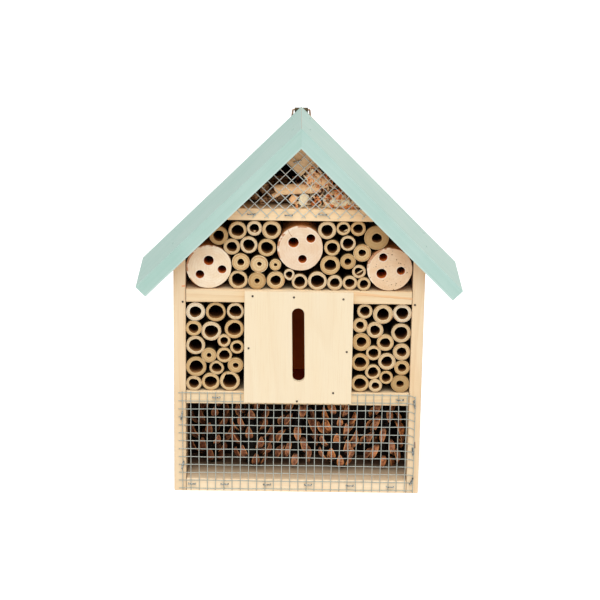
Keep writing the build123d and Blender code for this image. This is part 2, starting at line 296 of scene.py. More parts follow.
def stroke(tree, colour, x, z, angle, length, half_width, ink, share=0.8, wander=0.001):
    """The colour with one stroke of ink on the front face from (x, z), rising by the angle in degrees."""
    normal = add_node(tree, "ShaderNodeNewGeometry").outputs["Normal"]
    front = maths(tree, "LESS_THAN", axes(tree, normal)["Y"], -0.6)
    made = add_node(
        tree,
        "ShaderNodeGroup",
        ("Place", object_place(tree)),
        ("Start", (x, 0, z)),
        ("Turn", (0, -math.radians(angle), 0)),
        ("Size", (length, 1, half_width)),
        ("Wander", wander),
        node_tree=stroke_mask,
    )
    return tint(tree, colour, ink, share, times(tree, made.outputs["Mask"], front))


chamber_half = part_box("right_divider")[0][0]
chamber_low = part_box("lower_shelf")[1][2]
chamber_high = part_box("middle_shelf")[0][2]


def chamber_shaded(tree, colour, chamber_shade):
    """The colour replaced by a red-brown painted shade inside the closed middle chamber."""
    part = axes(tree, object_place(tree))
    middle = maths(tree, "LESS_THAN", maths(tree, "ABSOLUTE", part["X"]), chamber_half + 0.0002)
    deep = maths(tree, "LESS_THAN", maths(tree, "ABSOLUTE", part["Y"]), 0.0272)
    level = maths(tree, "SUBTRACT", part["Z"], (chamber_low + chamber_high) / 2)
    room = (chamber_high - chamber_low) / 2 + 0.0003
    high = maths(tree, "LESS_THAN", maths(tree, "ABSOLUTE", level), room)
    return blend(tree, times(tree, times(tree, middle, deep), high), colour, chamber_shade)


def sawn_wood(tree, place, heart, ring_width, bend):
    """One use of the softwood group. Returns its outputs by name."""
    sockets = ("Place", place), ("Heart", heart), ("Ring Width", ring_width), ("Bend", bend)
    return add_node(tree, "ShaderNodeGroup", *sockets, node_tree=sawn_softwood).outputs


quarter = math.pi / 2
grain_turns = {"Z": (0, 0, 0), "X": (0, -quarter, 0), "Y": (quarter, 0, 0)}


def pine(name, grain, heart, shades, ring_width=0.0038, contrast=0.6, strokes=(), chamber_shade=None):
    """Raw planed pine: early wood from pale to mid, dark late wood and fibres, slow warm blotches.

    The boards between the walls have a dark seam at their ends, painted as the shadow in the gap
    where they butt against them. Inside the rooms they go brown and dark towards the back as
    painted shade.
    """
    material, tree, shader = new_material(name)
    pale, mid, dark = shades
    wood = sawn_wood(tree, object_place(tree, grain_turns[grain]), heart, ring_width, 0.009)
    base = blend(tree, grey_ramp(tree, wood["Blotch"], 0.3, 0.75), pale, mid)
    late = times(tree, wood["Late Wood"], grey_ramp(tree, wood["Blotch"], 0.1, 1.1))
    base = tint(tree, base, dark, contrast, late)
    base = tint(tree, base, dark, 0.22, wood["Fibre"], 0.42, 0.78)
    # Painted shadow: a dark seam at the ends of the boards, where they butt against the walls.
    aside = maths(tree, "ABSOLUTE", axes(tree, object_place(tree))["X"])
    seam = grey_ramp(tree, aside, inner_half - 0.0007, inner_half - 0.0002)
    seam = times(tree, seam, maths(tree, "LESS_THAN", aside, inner_half - 0.00005))
    base = tint(tree, base, srgb(84, 48, 26), 0.85, seam)
    for line in strokes:
        base = stroke(tree, base, *line)
    # Painted shade: the board darkens towards the back of the rooms.
    base = inside_shaded(tree, base)
    if chamber_shade:
        base = chamber_shaded(tree, base, chamber_shade)
    surface(tree, shader, base, grey_ramp(tree, wood["Fibre"], -1.6, 1.2), wood["Height"], 0.00022, 0.6)
    return material


def join_piece(made, material, replaced=(), body="house"):
    """Gives a finished object its material and slot, and joins it to its body in the frame."""
    made.data.materials.clear()
    made.data.materials.append(material)
    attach(made, body)
    if replaced:
        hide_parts(*replaced)
    return made


def planed(node, name, material, easing=0.0005, segments=3):
    """The CAD board with its corners merged, its flat sides made whole and its edges eased by a bevel."""
    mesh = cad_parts[node].data.copy()
    mesh.name = name
    shape = bmesh.new()
    shape.from_mesh(mesh)
    bmesh.ops.remove_doubles(shape, verts=shape.verts, dist=1e-6)
    bmesh.ops.dissolve_limit(shape, angle_limit=math.radians(1), verts=shape.verts, edges=shape.edges)
    shape.to_mesh(mesh)
    shape.free()
    mesh.shade_flat()
    made = bpy.data.objects.new(name, mesh)
    bpy.context.scene.collection.objects.link(made)
    bevel = made.modifiers.new("eased_edges", "BEVEL")
    bevel.width = easing
    bevel.segments = segments
    bevel.limit_method = "ANGLE"
    bevel.angle_limit = math.radians(35)
    bevel.harden_normals = True
    return join_piece(made, material, [node])


wall_shades = srgb(244, 221, 186), srgb(237, 206, 164), srgb(214, 166, 108)
shelf_shades = srgb(247, 226, 190), srgb(240, 211, 168), srgb(214, 166, 108)
floor_shades = srgb(255, 235, 202), srgb(252, 222, 182), srgb(226, 172, 112)
# The attic shelf's paler shades are painted light that offsets the roof's shadow on it.
attic_shades = srgb(255, 228, 186), srgb(252, 214, 164), srgb(224, 164, 100)
batten_shades = srgb(226, 196, 154), srgb(208, 172, 128), srgb(160, 116, 72)
resin = (-0.0873, 0.1650, 0, 0.0031, 0.0007, srgb(240, 150, 96), 0.9)
split_end = (0.0899, 0.0369, 90, 0.0060, 0.0006, srgb(120, 58, 36), 0.9)
shelf_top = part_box("middle_shelf")[1][2]
warm_band = (0.0385, shelf_top - 0.0010, -5.5, 0.060, 0.0010, srgb(244, 190, 136), 0.6)
dark_line = (0.0385, shelf_top - 0.0023, -4.5, 0.060, 0.00035, srgb(226, 162, 106), 0.6)
pine_wall = pine("pine_upright", "Z", (0.03, 0.055, 0), wall_shades, strokes=[resin, split_end])
pine_floor = pine("pine_floor", "X", (0.06, 0.05, 0), floor_shades)
# The shelf under the chamber takes a dark red-brown painted shade inside the chamber.
pine_chamber = pine("pine_chamber", "X", (0.06, 0.05, 0), shelf_shades, chamber_shade=srgb(150, 44, 18))
pine_shelf = pine("pine_shelf", "X", (0.19, 0.034, 0), shelf_shades, 0.0062, 0.8, [warm_band, dark_line])
pine_attic = pine("pine_attic", "X", (0.03, 0.06, 0), attic_shades)
pine_batten = pine("pine_batten", "Y", (0.05, -0.33, 0), batten_shades, contrast=0.9)
planed("left_side_wall", "left_wall_board", pine_wall, 0.0007)
planed("right_side_wall", "right_wall_board", pine_wall, 0.0007)
planed("floor_board", "floor_plank", pine_floor)
planed("lower_shelf", "lower_shelf_board", pine_chamber)
planed("middle_shelf", "middle_shelf_board", pine_shelf)
planed("attic_shelf", "attic_shelf_board", pine_attic)
planed("ridge_batten", "ridge_batten_wood", pine_batten)

# ---------------------------------------------------------------- Plywood
# Thin birch-faced plywood: the slotted front panel, the back and the two dividers.
# The face veneer's grain runs upright, and nails hold the sheets to the boards.


def plywood(name, pale, dark, chamber_shade=None):
    """Face veneer cut from very wide rings, with faint dark fibres."""
    material, tree, shader = new_material(name)
    wood = sawn_wood(tree, object_place(tree), (0.02, 0.09, 0), 0.011, 0.02)
    base = blend(tree, grey_ramp(tree, wood["Blotch"], 0.3, 0.8), pale, srgb(245, 225, 190))
    base = tint(tree, base, dark, 0.14, wood["Late Wood"])
    base = tint(tree, base, dark, 0.3, wood["Fibre"], 0.5, 0.85)
    # Painted shade: the sheet goes near black deep inside the rooms.
    base = inside_shaded(tree, base, 1.0, srgb(30, 17, 10))
    if chamber_shade:
        base = chamber_shaded(tree, base, chamber_shade)
    surface(tree, shader, base, grey_ramp(tree, wood["Fibre"], -1.2, 1.3), wood["Height"], 0.00008, 0.6)
    return material


panel_plywood = plywood("panel_plywood", srgb(246, 229, 198), srgb(222, 184, 132))
inner_plywood = plywood("inner_plywood", srgb(206, 160, 108), srgb(150, 96, 52))
# The back panel takes a warm red-brown painted shade inside the chamber.
back_plywood = plywood("back_plywood", srgb(240, 216, 176), srgb(200, 158, 108), srgb(236, 106, 40))
for node, name, material in (
    ("front_panel", "slotted_front_panel", panel_plywood),
    ("back_panel", "back_plywood", back_plywood),
    ("left_divider", "left_divider_plywood", inner_plywood),
    ("right_divider", "right_divider_plywood", inner_plywood),
):
    planed(node, name, material, 0.0003)

# ---------------------------------------------------------------- Roof
# Two pine boards with flat mint paint brushed along them, mitred at the ridge. The grain
# shows through as low ridges, the lower front edges are paler, partly rubbed paint and partly
# painted highlight, the upward faces are painted paler as sheen and the back edges are bare.


def painted_pine(name, side, edge_shades, top_shades):
    """Matt mint paint over softwood grain that runs down the slope on that side of the ridge.

    The upward faces take paler paint than the edges as painted sheen. The paint is paler along
    the lower front edge, partly thin paint and partly painted highlight, gone in a beige line at
    the ridge and chipped off at one spot of the rear edge. The back and the underside were left raw.
    """
    material, tree, shader = new_material(name)
    place = object_place(tree, (0, side * math.radians(45), 0))
    wood = sawn_wood(tree, place, (0.02, 0.06, 0), 0.0045, 0.012)
    brush = noise(tree, vector_maths(tree, "MULTIPLY", place, (420, 420, 9)), 1.0, 2.0)
    cloud = noise(tree, place, 22.0, 4.0)
    patches = grey_ramp(tree, cloud, 0.35, 0.68)
    facing = axes(tree, add_node(tree, "ShaderNodeNewGeometry").outputs["Normal"])
    part = axes(tree, object_place(tree))
    # Painted sheen: faces turned upwards take the paler top shades.
    top = grey_ramp(tree, facing["Z"], 0.3, 0.6)
    edge_paint = blend(tree, patches, *edge_shades)
    paint = blend(tree, top, edge_paint, blend(tree, patches, *top_shades))
    paint = tint(tree, paint, srgb(214, 227, 221), 0.2, brush, 0.35, 0.8)
    paint = tint(tree, paint, srgb(160, 190, 178), 0.16, wood["Late Wood"])
    from_ridge = maths(tree, "ABSOLUTE", part["X"])
    over = maths(tree, "SUBTRACT", maths(tree, "ADD", from_ridge, part["Z"]), ridge_under)
    over = maths(tree, "SUBTRACT", over, times(tree, cloud, 0.0006))
    # Paler along the lower front edge: partly thin paint, partly painted highlight.
    paint = tint(tree, paint, srgb(224, 238, 232), 0.3, over, 0.0019, 0.0010)
    seam = times(tree, top, grey_ramp(tree, from_ridge, 0.0004, 0.0001))
    paint = tint(tree, paint, srgb(212, 192, 176), 0.5, seam)
    rear = grey_ramp(tree, maths(tree, "ADD", facing["Y"], times(tree, cloud, 0.2)), 0.93, 1.02)
    from_chip = maths(tree, "ABSOLUTE", maths(tree, "SUBTRACT", part["X"], 0.0082))
    chip = grey_ramp(tree, from_chip, 0.0026, 0.0018)
    chip = times(tree, chip, grey_ramp(tree, part["Y"], 0.0290, 0.0298))
    bare = maths(tree, "MAXIMUM", rear, times(tree, top, chip))
    bare = maths(tree, "MAXIMUM", bare, grey_ramp(tree, facing["Z"], -0.66, -0.7))
    raw = blend(tree, wood["Late Wood"], srgb(226, 188, 138), srgb(196, 146, 92))
    # Painted shade: the raw underside darkens towards the back of the rooms.
    colour = inside_shaded(tree, blend(tree, bare, paint, raw))
    relief = maths(tree, "ADD", times(tree, wood["Height"], 0.7), times(tree, brush, 0.5))
    surface(tree, shader, colour, grey_ramp(tree, brush, -1.3, 1.4), relief, 0.00012, 0.7)
    return material


left_shades = (srgb(168, 202, 191), srgb(179, 209, 199)), (srgb(185, 214, 204), srgb(193, 217, 208))
right_shades = (srgb(174, 207, 197), srgb(186, 214, 205)), (srgb(199, 226, 215), srgb(208, 230, 219))
for side, where, shades in ((-1, "left", left_shades), (1, "right", right_shades)):
    mint = painted_pine(f"{where}_roof_mint", side, *shades)
    planed(f"{where}_roof_board", f"{where}_roof_plank", mint, 0.00008)

# ---------------------------------------------------------------- Bamboo canes
# Dry canes sawn to the depth of the rooms and packed tight. Each is a tube of its own
# roundness, wall and colour, with a pale sawn end; its hollow and its skin behind the end are
# painted dark as shade.


def grid_faces(rows, columns, closed_rows, closed_columns):
    """Quads between the neighbouring points of a grid numbered row by row, wrapped where closed."""
    row = np.arange(rows if closed_rows else rows - 1)[:, None]
    column = np.arange(columns if closed_columns else columns - 1)[None, :]
    next_row = (row + 1) % rows
    next_column = (column + 1) % columns
    corners = [row * columns + column, row * columns + next_column]
    corners += [next_row * columns + next_column, next_row * columns + column]
    return np.stack(np.broadcast_arrays(*corners), -1).reshape(-1, 4)


def shown_mesh(name, points, faces, marks=None, smooth=True):
    """A mesh object from an array of points and arrays of faces, with one attribute per mark."""
    mesh = bpy.data.meshes.new(name)
    corners = np.concatenate([np.ravel(block) for block in faces]).astype(np.int32)
    sizes = np.concatenate([np.full(len(block), block.shape[1]) for block in faces])
    mesh.vertices.add(len(points))
    mesh.vertices.foreach_set("co", np.asarray(points, np.float32).ravel())
    mesh.loops.add(len(corners))
    mesh.loops.foreach_set("vertex_index", corners)
    mesh.polygons.add(len(sizes))
    mesh.polygons.foreach_set("loop_start", (np.cumsum(sizes) - sizes).astype(np.int32))
    mesh.polygons.foreach_set("use_smooth", np.full(len(sizes), smooth))
    mesh.update(calc_edges=True)
    for mark, values in (marks or {}).items():
        values = np.asarray(values, np.float32).ravel()
        mesh.attributes.new(mark, "FLOAT", "POINT").data.foreach_set("value", values)
    made = bpy.data.objects.new(name, mesh)
    bpy.context.scene.collection.objects.link(made)
    return made


def islands(node):
    """The points of each separate solid of a CAD node, found by passing the lowest label along its edges."""
    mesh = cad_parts[node].data
    points = np.empty(len(mesh.vertices) * 3, np.float32)
    mesh.vertices.foreach_get("co", points)
    points, same = np.unique(np.round(points.reshape(-1, 3), 6), axis=0, return_inverse=True)
    ends = np.empty(len(mesh.edges) * 2, np.int32)
    mesh.edges.foreach_get("vertices", ends)
    first, second = same.ravel()[ends].reshape(-1, 2).T
    label = np.arange(len(points))
    while True:
        low = np.minimum(label[first], label[second])
        lower = label.copy()
        np.minimum.at(lower, first, low)
        np.minimum.at(lower, second, low)
        lower = lower[lower]
        if (lower == label).all():
            break
        label = lower
    found = [points[label == one] for one in np.unique(label)]
    return sorted(found, key=lambda solid: (round(float(solid[:, 0].mean()), 3), float(solid[:, 2].mean())))


def cane_size(solid):
    """Middle x and z, outer radius, bore radius, front y and back y of one straight CAD tube."""
    low, high = solid.min(0), solid.max(0)
    x, z = (low[0] + high[0]) / 2, (low[2] + high[2]) / 2
    away = np.hypot(solid[:, 0] - x, solid[:, 2] - z)
    return float(x), float(z), float(away.max()), float(away.min()), float(low[1]), float(high[1])


cane_sides = 72


def cane_outline(outer, bore, front, back):
    """Radius, depth and place across the wall for each ring of a cane's closed outline.

    The outline runs from the back along the skin, over the rounded front edge, across the sawn
    end, into the bore and down it to the back again.
    """
    edge = 0.00018
    wall = outer - bore
    rows = [(outer, back, 1.0)]
    rows += [(outer, front + deep, 1.0) for deep in (0.03, 0.012, 0.004, 0.001, edge)]
    rows += [
        (outer - edge * (1 - math.cos(a)), front + edge * (1 - math.sin(a)), 1.0) for a in (0.5, 1.0, 1.5)
    ]
    rows += [(outer - wall * s, front, 1 - s) for s in (0.12, 0.25, 0.4, 0.55, 0.7, 0.85)]
    rows += [
        (bore + edge * (1 - math.sin(a)), front + edge * (1 - math.cos(a)), 0.0) for a in (0.2, 0.8, 1.5)
    ]
    rows += [(bore, front + deep, 0.0) for deep in (0.001, 0.003, 0.007, 0.014, 0.026)]
    rows += [(bore, back, 0.0)]
    return np.array(rows)


def hump(angle, at, width):
    """A bell of height 1 round the direction at: exp(-(angle between / width)^2)."""
    return np.exp(-(((angle - at + np.pi) % (2 * np.pi) - np.pi) / width) ** 2)


def cane(size, rng, dent, chip):
    """One cane as a closed grid: the outline carried round the axis.

    Its skin is the circle times 1 + two, three and five-lobed waves, its bore the same with
    larger waves and a shifted middle, and its sawn end a tilted plane with fine saw marks.
    A dent (depth, direction, width) pushes both in, a chip (direction, width, depth) breaks
    the end back.
    """
    x, z, outer, bore, front, back = size
    rows = cane_outline(outer, bore, front, back)
    angle = np.linspace(0, 2 * np.pi, cane_sides, endpoint=False)[None, :]
    radius, depth, across = (rows[:, i][:, None] for i in range(3))
    waves = rng.uniform(0, 2 * np.pi, 6)
    packing = 0.00012 / outer - 0.006
    skin = 1 + packing + 0.007 * np.sin(2 * angle + waves[0]) + 0.006 * np.sin(3 * angle + waves[1])
    skin = skin + 0.0025 * np.sin(5 * angle + waves[2])
    hollow = 1 + 0.03 * np.sin(2 * angle + waves[3]) + 0.03 * np.sin(3 * angle + waves[4])
    hollow = hollow + 0.012 * np.sin(6 * angle + waves[5])
    if dent:
        skin = skin - dent[0] * hump(angle, *dent[1:])
        hollow = hollow - 1.3 * dent[0] * hump(angle, *dent[1:])
    shape = hollow + (skin - hollow) * across
    off_x, off_z = rng.uniform(-0.05, 0.05, 2) * (outer - bore)
    px = x + radius * shape * np.cos(angle) + off_x * (1 - across)
    pz = z + radius * shape * np.sin(angle) + off_z * (1 - across)
    near = np.clip(1 - (depth - front) / 0.002, 0, 1)
    slope_x, slope_z = rng.uniform(-0.02, 0.02, 2)
    saw = 0.00005 * np.sin((px * math.cos(waves[0]) + pz * math.sin(waves[0])) * 5200)
    rough = rng.normal(0, 0.00004, px.shape)
    py = depth + near * ((px - x) * slope_x + (pz - z) * slope_z + saw + rough) + 0 * angle
    if chip:
        gap = hump(angle, *chip[:2])
        py = py + near * chip[2] * np.where(gap > 0.5, 1, gap * 0.6)
    marks = {"across": across, "depth": depth - front}
    marks = {name: np.broadcast_to(values, px.shape).ravel() for name, values in marks.items()}
    return np.stack([px, py, pz], -1).reshape(-1, 3), marks


def ramp(tree, value, stops):
    """The colour output of a Color Ramp, with stops of (place, colour)."""
    made = add_node(tree, "ShaderNodeValToRGB", (0, value))
    while len(made.color_ramp.elements) < len(stops):
        made.color_ramp.elements.new(0.5)
    for element, (place, colour) in zip(made.color_ramp.elements, stops):
        element.position = place
        element.color = colour
    return made.outputs["Color"]


def marked(tree, *names):
    """The values of the mesh's own attributes."""
    return [add_node(tree, "ShaderNodeAttribute", attribute_name=name).outputs["Fac"] for name in names]


own_shades = [
    (0.0, srgb(224, 196, 152)),
    (0.35, srgb(240, 218, 180)),
    (0.7, srgb(247, 234, 212)),
    (1.0, srgb(254, 250, 241)),
]
wall_bands = [
    (0.0, srgb(255, 250, 236)),
    (0.12, srgb(252, 240, 216)),
    (0.28, srgb(226, 206, 176)),
    (0.5, srgb(242, 230, 208)),
    (0.78, srgb(224, 200, 168)),
    (0.88, srgb(176, 134, 92)),
    (0.95, srgb(255, 250, 236)),
]


def bamboo_material():
    """Sawn bamboo.

    Across the wall the end goes from a pale ring at the bore through tan to a pale burr at the
    skin, with fine darker vessel dots. The skin is streaked straw and goes almost black a few
    millimetres behind the end, painted shade in the gaps between canes; the bore darkens inwards
    as painted shade.
    Attributes: across is 0 at the bore and 1 at the skin, depth is metres behind the sawn end,
    tone is each cane's own shade and dark its share of old brown wood.
    """
    material, tree, shader = new_material("bamboo")
    across, depth, tone, dark = marked(tree, "across", "depth", "tone", "dark")
    place = object_place(tree)
    fleck = noise(tree, place, 1500.0, 3.0, 0.7)
    cloud = noise(tree, place, 160.0, 3.0)
    shift = times(tree, maths(tree, "SUBTRACT", cloud, 0.5), 0.35)
    shifted = maths(tree, "ADD", across, shift)
    own = ramp(tree, tone, own_shades)
    end = blend(tree, 1.0, own, ramp(tree, shifted, wall_bands), "MULTIPLY")
    end = tint(tree, end, srgb(158, 120, 74), 0.55, fleck, 0.48, 0.72)
    burnt = grey_ramp(tree, noise(tree, place, 210.0, 2.0), 0.56, 0.7)
    burnt = times(tree, burnt, grey_ramp(tree, shifted, 0.55, 0.95))
    end = tint(tree, end, srgb(190, 120, 62), 0.6, burnt)
    old = blend(tree, cloud, srgb(190, 160, 112), srgb(160, 126, 80))
    end = tint(tree, end, old, 0.8, dark)
    streak = noise(tree, object_place(tree, stretched=(700, 24, 700)), 1.0, 3.0, 0.6)
    skin = blend(tree, streak, srgb(214, 182, 122), srgb(176, 138, 82))
    # Painted shade: the skin goes almost black a few millimetres behind the end, in the gaps between canes.
    skin = tint(tree, skin, srgb(26, 14, 8), 0.96, depth, 0.0003, 0.0035)
    # Painted shade: the bore wall darkens from tan to dark brown inwards.
    wall = blend(tree, grey_ramp(tree, depth, 0.0, 0.008), srgb(180, 130, 78), srgb(84, 50, 24))
    side = blend(tree, maths(tree, "LESS_THAN", across, 0.5), skin, wall)
    colour = blend(tree, grey_ramp(tree, depth, 0.0003, 0.0007), end, side)
    relief = maths(tree, "ADD", fleck, streak)
    surface(tree, shader, colour, grey_ramp(tree, fleck, -1.4, 1.3), relief, 0.00010, 0.6)
    return material


bamboo = bamboo_material()
rng = np.random.default_rng(11)

# Canes with their own dent, chip or shade: tone is 0 for straw to 1 for cream, dark is 0 for
# fresh to 1 for old brown. Each is found by its node and its order from the left.
odd_canes = {
    ("upper_middle_canes", 0): {"dent": (-0.16, 4.95, 0.55), "tone": 0.8},
    ("left_canes_row_5", 1): {"dent": (0.13, 0.85, 0.75), "tone": 0.45, "dark": 0.25},
    ("left_canes_row_6", 2): {"chip": (2.2, 0.25, 0.0022), "tone": 0.45},
    ("left_canes_row_1", 0): {"tone": 1.0},
    ("right_canes_row_1", 2): {"tone": 0.95},
    ("right_canes_row_6", 2): {"tone": 0.0, "dark": 0.8},
    ("upper_left_canes_top", 0): {"tone": 0.0, "dark": 0.7},
    ("upper_right_canes_top", 3): {"tone": 0.0, "dark": 0.75},
    ("upper_left_canes_base", 1): {"tone": 0.1, "dark": 0.3},
    ("upper_right_canes_low", 1): {"tone": 0.1, "dark": 0.45},
    ("left_canes_row_4", 0): {"tone": 0.3, "dark": 0.35},
    ("left_canes_row_5", 0): {"tone": 0.25, "dark": 0.45},
    ("left_canes_row_5", 2): {"tone": 0.2, "dark": 0.3},
    ("left_canes_row_1", 1): {"tone": 0.2, "dark": 0.2},
}
for node in sorted(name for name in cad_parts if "_canes" in name):
    blocks, quads, total = [], [], 0
    marks = {"across": [], "depth": [], "tone": [], "dark": []}
    for order, solid in enumerate(islands(node)):
        odd = odd_canes.get((node, order), {})
        points, own = cane(cane_size(solid), rng, odd.get("dent"), odd.get("chip"))
        own["tone"] = np.full(len(points), odd.get("tone", rng.uniform(0.1, 0.75)))
        own["dark"] = np.full(len(points), odd.get("dark", max(0, rng.normal(0, 0.12))))
        quads.append(grid_faces(len(points) // cane_sides, cane_sides, True, True) + total)
        blocks.append(points)
        total += len(points)
        for mark, values in own.items():
            marks[mark].append(values)
    marks = {mark: np.concatenate(values) for mark, values in marks.items()}
    name = node.replace("canes", "bamboo")
    made = shown_mesh(name, np.concatenate(blocks), [np.concatenate(quads)], marks)
    join_piece(made, bamboo, [node])

# ---------------------------------------------------------------- Torn fibres
# Three canes still hold a bit of torn fibre or pith just inside the sawn end. They are thin
# curved slivers that lean across the bore or lie at its bottom.


def tube_faces(steps, sides, count=1, turned=False):
    """Side quads and end caps of count equal tubes whose points are numbered ring by ring."""
    ring = np.arange(sides)
    quads = grid_faces(steps, sides, False, True)
    ends = np.array([ring[::-1], (steps - 1) * sides + ring])
    if turned:
        quads, ends = quads[:, ::-1], ends[:, ::-1]
    first = (np.arange(count) * steps * sides)[:, None, None]
    return [(faces + first).reshape(-1, faces.shape[1]) for faces in (quads, ends)]


def sliver(name, start, bend, end, thick):
    """A closed tapering stick along the parabola (1-t)^2 a + 2 t (1-t) b + t^2 c.

    Its section is an ellipse of radius thick (1 - 0.8 (2 t - 1)^2), half as high as wide.
    """
    steps, sides = 14, 8
    t = np.linspace(0, 1, steps)[:, None, None]
    a, b, c = (np.array(point) for point in (start, bend, end))
    line = (1 - t) ** 2 * a + 2 * t * (1 - t) * b + t**2 * c
    across = np.cross(c - a, [0, 1.0, 0])
    across /= np.linalg.norm(across)
    angle = np.linspace(0, 2 * np.pi, sides, endpoint=False)[None, :, None]
    radius = thick * (1 - 0.8 * (2 * t - 1) ** 2)
    points = line + radius * (np.cos(angle) * across + 0.5 * np.sin(angle) * np.array([0, 1.0, 0]))
    marks = {"across": 0.4, "depth": 0.0, "tone": 0.6, "dark": 0.0}
    marks = {mark: np.full(steps * sides, value) for mark, value in marks.items()}
    made = shown_mesh(name, points.reshape(-1, 3), tube_faces(steps, sides, turned=True), marks)
    join_piece(made, bamboo)


sliver("splinter_low", (0.0424, -0.0245, 0.1751), (0.0446, -0.0262, 0.1768),
       (0.0473, -0.0268, 0.1790), 0.0006)
sliver("splinter_top", (0.0320, -0.0255, 0.2079), (0.0338, -0.0265, 0.2086),
       (0.0350, -0.0268, 0.2102), 0.0006)
sliver("pith_lump", (-0.0346, -0.0250, 0.2072), (-0.0334, -0.0262, 0.2070),
       (-0.0324, -0.0250, 0.2074), 0.0010)

# ---------------------------------------------------------------- Drilled logs
# Three round slices of a thin trunk with the bark peeled off. Each is sawn flat at the front,
# drilled with three blind holes and pushed between the canes.


def near_point(tree, place, x, z):
    """Distance in metres from the line through (x, z) that runs from front to back."""
    flat = vector_maths(tree, "MULTIPLY", place, (1, 0, 1))
    return vector_maths(tree, "DISTANCE", flat, (x, 0, z), "Value")


def log_material(name, middle, radius, holes, face_y, pale, mid, specks, cracks):
    """Sawn end grain: faint rings round the pith, saw marks, a pale rim with scraps of inner bark.

    Pale rough edges surround the drilled holes, whose walls are scorched orange-brown and go dark
    brown deeper in as painted shade, and the peeled skin behind the sawn face is tan.
    """
    material, tree, shader = new_material(name)
    place = object_place(tree)
    out = near_point(tree, place, middle[0] + 0.0012, middle[1] - 0.0008)
    wobble = times(tree, noise(tree, place, 55.0, 3.0), 0.009)
    ring = maths(tree, "SINE", times(tree, maths(tree, "ADD", out, wobble), 3000.0))
    fine = noise(tree, place, 1300.0, 3.0, 0.7)
    cloud = noise(tree, place, 120.0, 3.0)
    saw = noise(tree, object_place(tree, stretched=(2600, 1, 120)), 1.0, 2.0)
    colour = blend(tree, grey_ramp(tree, cloud, 0.3, 0.7), pale, mid)
    colour = tint(tree, colour, srgb(214, 172, 130), 0.13, ring, 0.0, 1.0)
    colour = tint(tree, colour, srgb(206, 162, 120), 0.22, fine, 0.5, 0.8)
    colour = tint(tree, colour, srgb(255, 246, 228), 0.35, out, radius * 0.94, radius * 0.965)
    inner_bark = grey_ramp(tree, out, radius * 0.966, radius * 0.976)
    inner_bark = times(tree, inner_bark, grey_ramp(tree, cloud, 0.47, 0.53))
    colour = tint(tree, colour, srgb(186, 122, 76), 0.85, inner_bark)
    colour = tint(tree, colour, srgb(206, 160, 118), 0.22, saw, 0.5, 0.75)
    inside = 0.0
    for x, z, hole_radius in holes:
        away = maths(tree, "SUBTRACT", near_point(tree, place, x, z), hole_radius)
        away = maths(tree, "SUBTRACT", away, times(tree, fine, 0.0004))
        colour = tint(tree, colour, srgb(253, 243, 226), 0.55, away, 0.0006, 0.0002)
        inside = maths(tree, "MAXIMUM", inside, maths(tree, "LESS_THAN", away, 0.0001))
    depth = axes(tree, place)["Y"]
    deep = grey_ramp(tree, depth, face_y + 0.0004, face_y + 0.0016)
    colour = blend(tree, deep, colour, srgb(196, 134, 80))
    # Hole walls: scorched orange-brown at the face, darkening deeper in as painted shade.
    hole = blend(tree, grey_ramp(tree, depth, face_y, face_y + 0.020), srgb(228, 128, 52), srgb(104, 44, 14))
    colour = blend(tree, times(tree, inside, deep), colour, hole)
    for line in cracks:
        colour = stroke(tree, colour, *line)
    if specks:
        spot = grey_ramp(tree, noise(tree, place, 620.0, 2.0, 0.4), 0.66, 0.7)
        colour = blend(tree, spot, colour, srgb(122, 84, 54))
    surface(tree, shader, colour, 0.85, maths(tree, "ADD", fine, times(tree, ring, 0.15)), 0.00018, 0.6)
    return material


def drilled_log(node, name, holes, pale, mid, specks, cracks, seed):
    """The CAD log with its outline made uneven by slow waves and its edges broken by a bevel.

    Skin radius times 0.982 + 0.009 sin(2a + p) + 0.006 sin(3a + q) + 0.003 sin(7a + r)
    + 0.0025 sin(19a + q).
    """
    low, high = (np.array(corner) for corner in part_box(node))
    x, z, radius = (low[0] + high[0]) / 2, (low[2] + high[2]) / 2, (high[0] - low[0]) / 2
    holes = [(x + hole_x, z + hole_z, hole_radius) for hole_x, hole_z, hole_radius in holes]
    wood = log_material(name + "_wood", (x, z), radius, holes, float(low[1]), pale, mid, specks, cracks)
    mesh = planed(node, name, wood, 0.0003, 2).data
    points = np.empty(len(mesh.vertices) * 3, np.float32)
    mesh.vertices.foreach_get("co", points)
    points = points.reshape(-1, 3)
    off_x, off_z = points[:, 0] - x, points[:, 2] - z
    angle = np.arctan2(off_z, off_x)
    waves = np.random.default_rng(seed).uniform(0, 2 * np.pi, 3)
    factor = 0.982 + 0.009 * np.sin(2 * angle + waves[0]) + 0.006 * np.sin(3 * angle + waves[1])
    factor = factor + 0.003 * np.sin(7 * angle + waves[2]) + 0.0025 * np.sin(19 * angle + waves[1])
    factor = np.where(np.hypot(off_x, off_z) > 0.96 * radius, factor, 1.0)
    points[:, 0] = x + off_x * factor
    points[:, 2] = z + off_z * factor
    mesh.vertices.foreach_set("co", points.ravel())
    mesh.update()


left_holes = [(0, 0.0048, 0.0037), (0.0099, -0.002, 0.0032), (-0.0065, -0.006, 0.0032)]
middle_holes = [(-0.005, 0.0044, 0.00385), (0.0078, 0.0076, 0.0033), (0.0018, -0.0083, 0.0032)]
right_holes = [(-0.005, 0.0091, 0.0031), (-0.0059, -0.0036, 0.0038), (0.0084, -0.0012, 0.0031)]
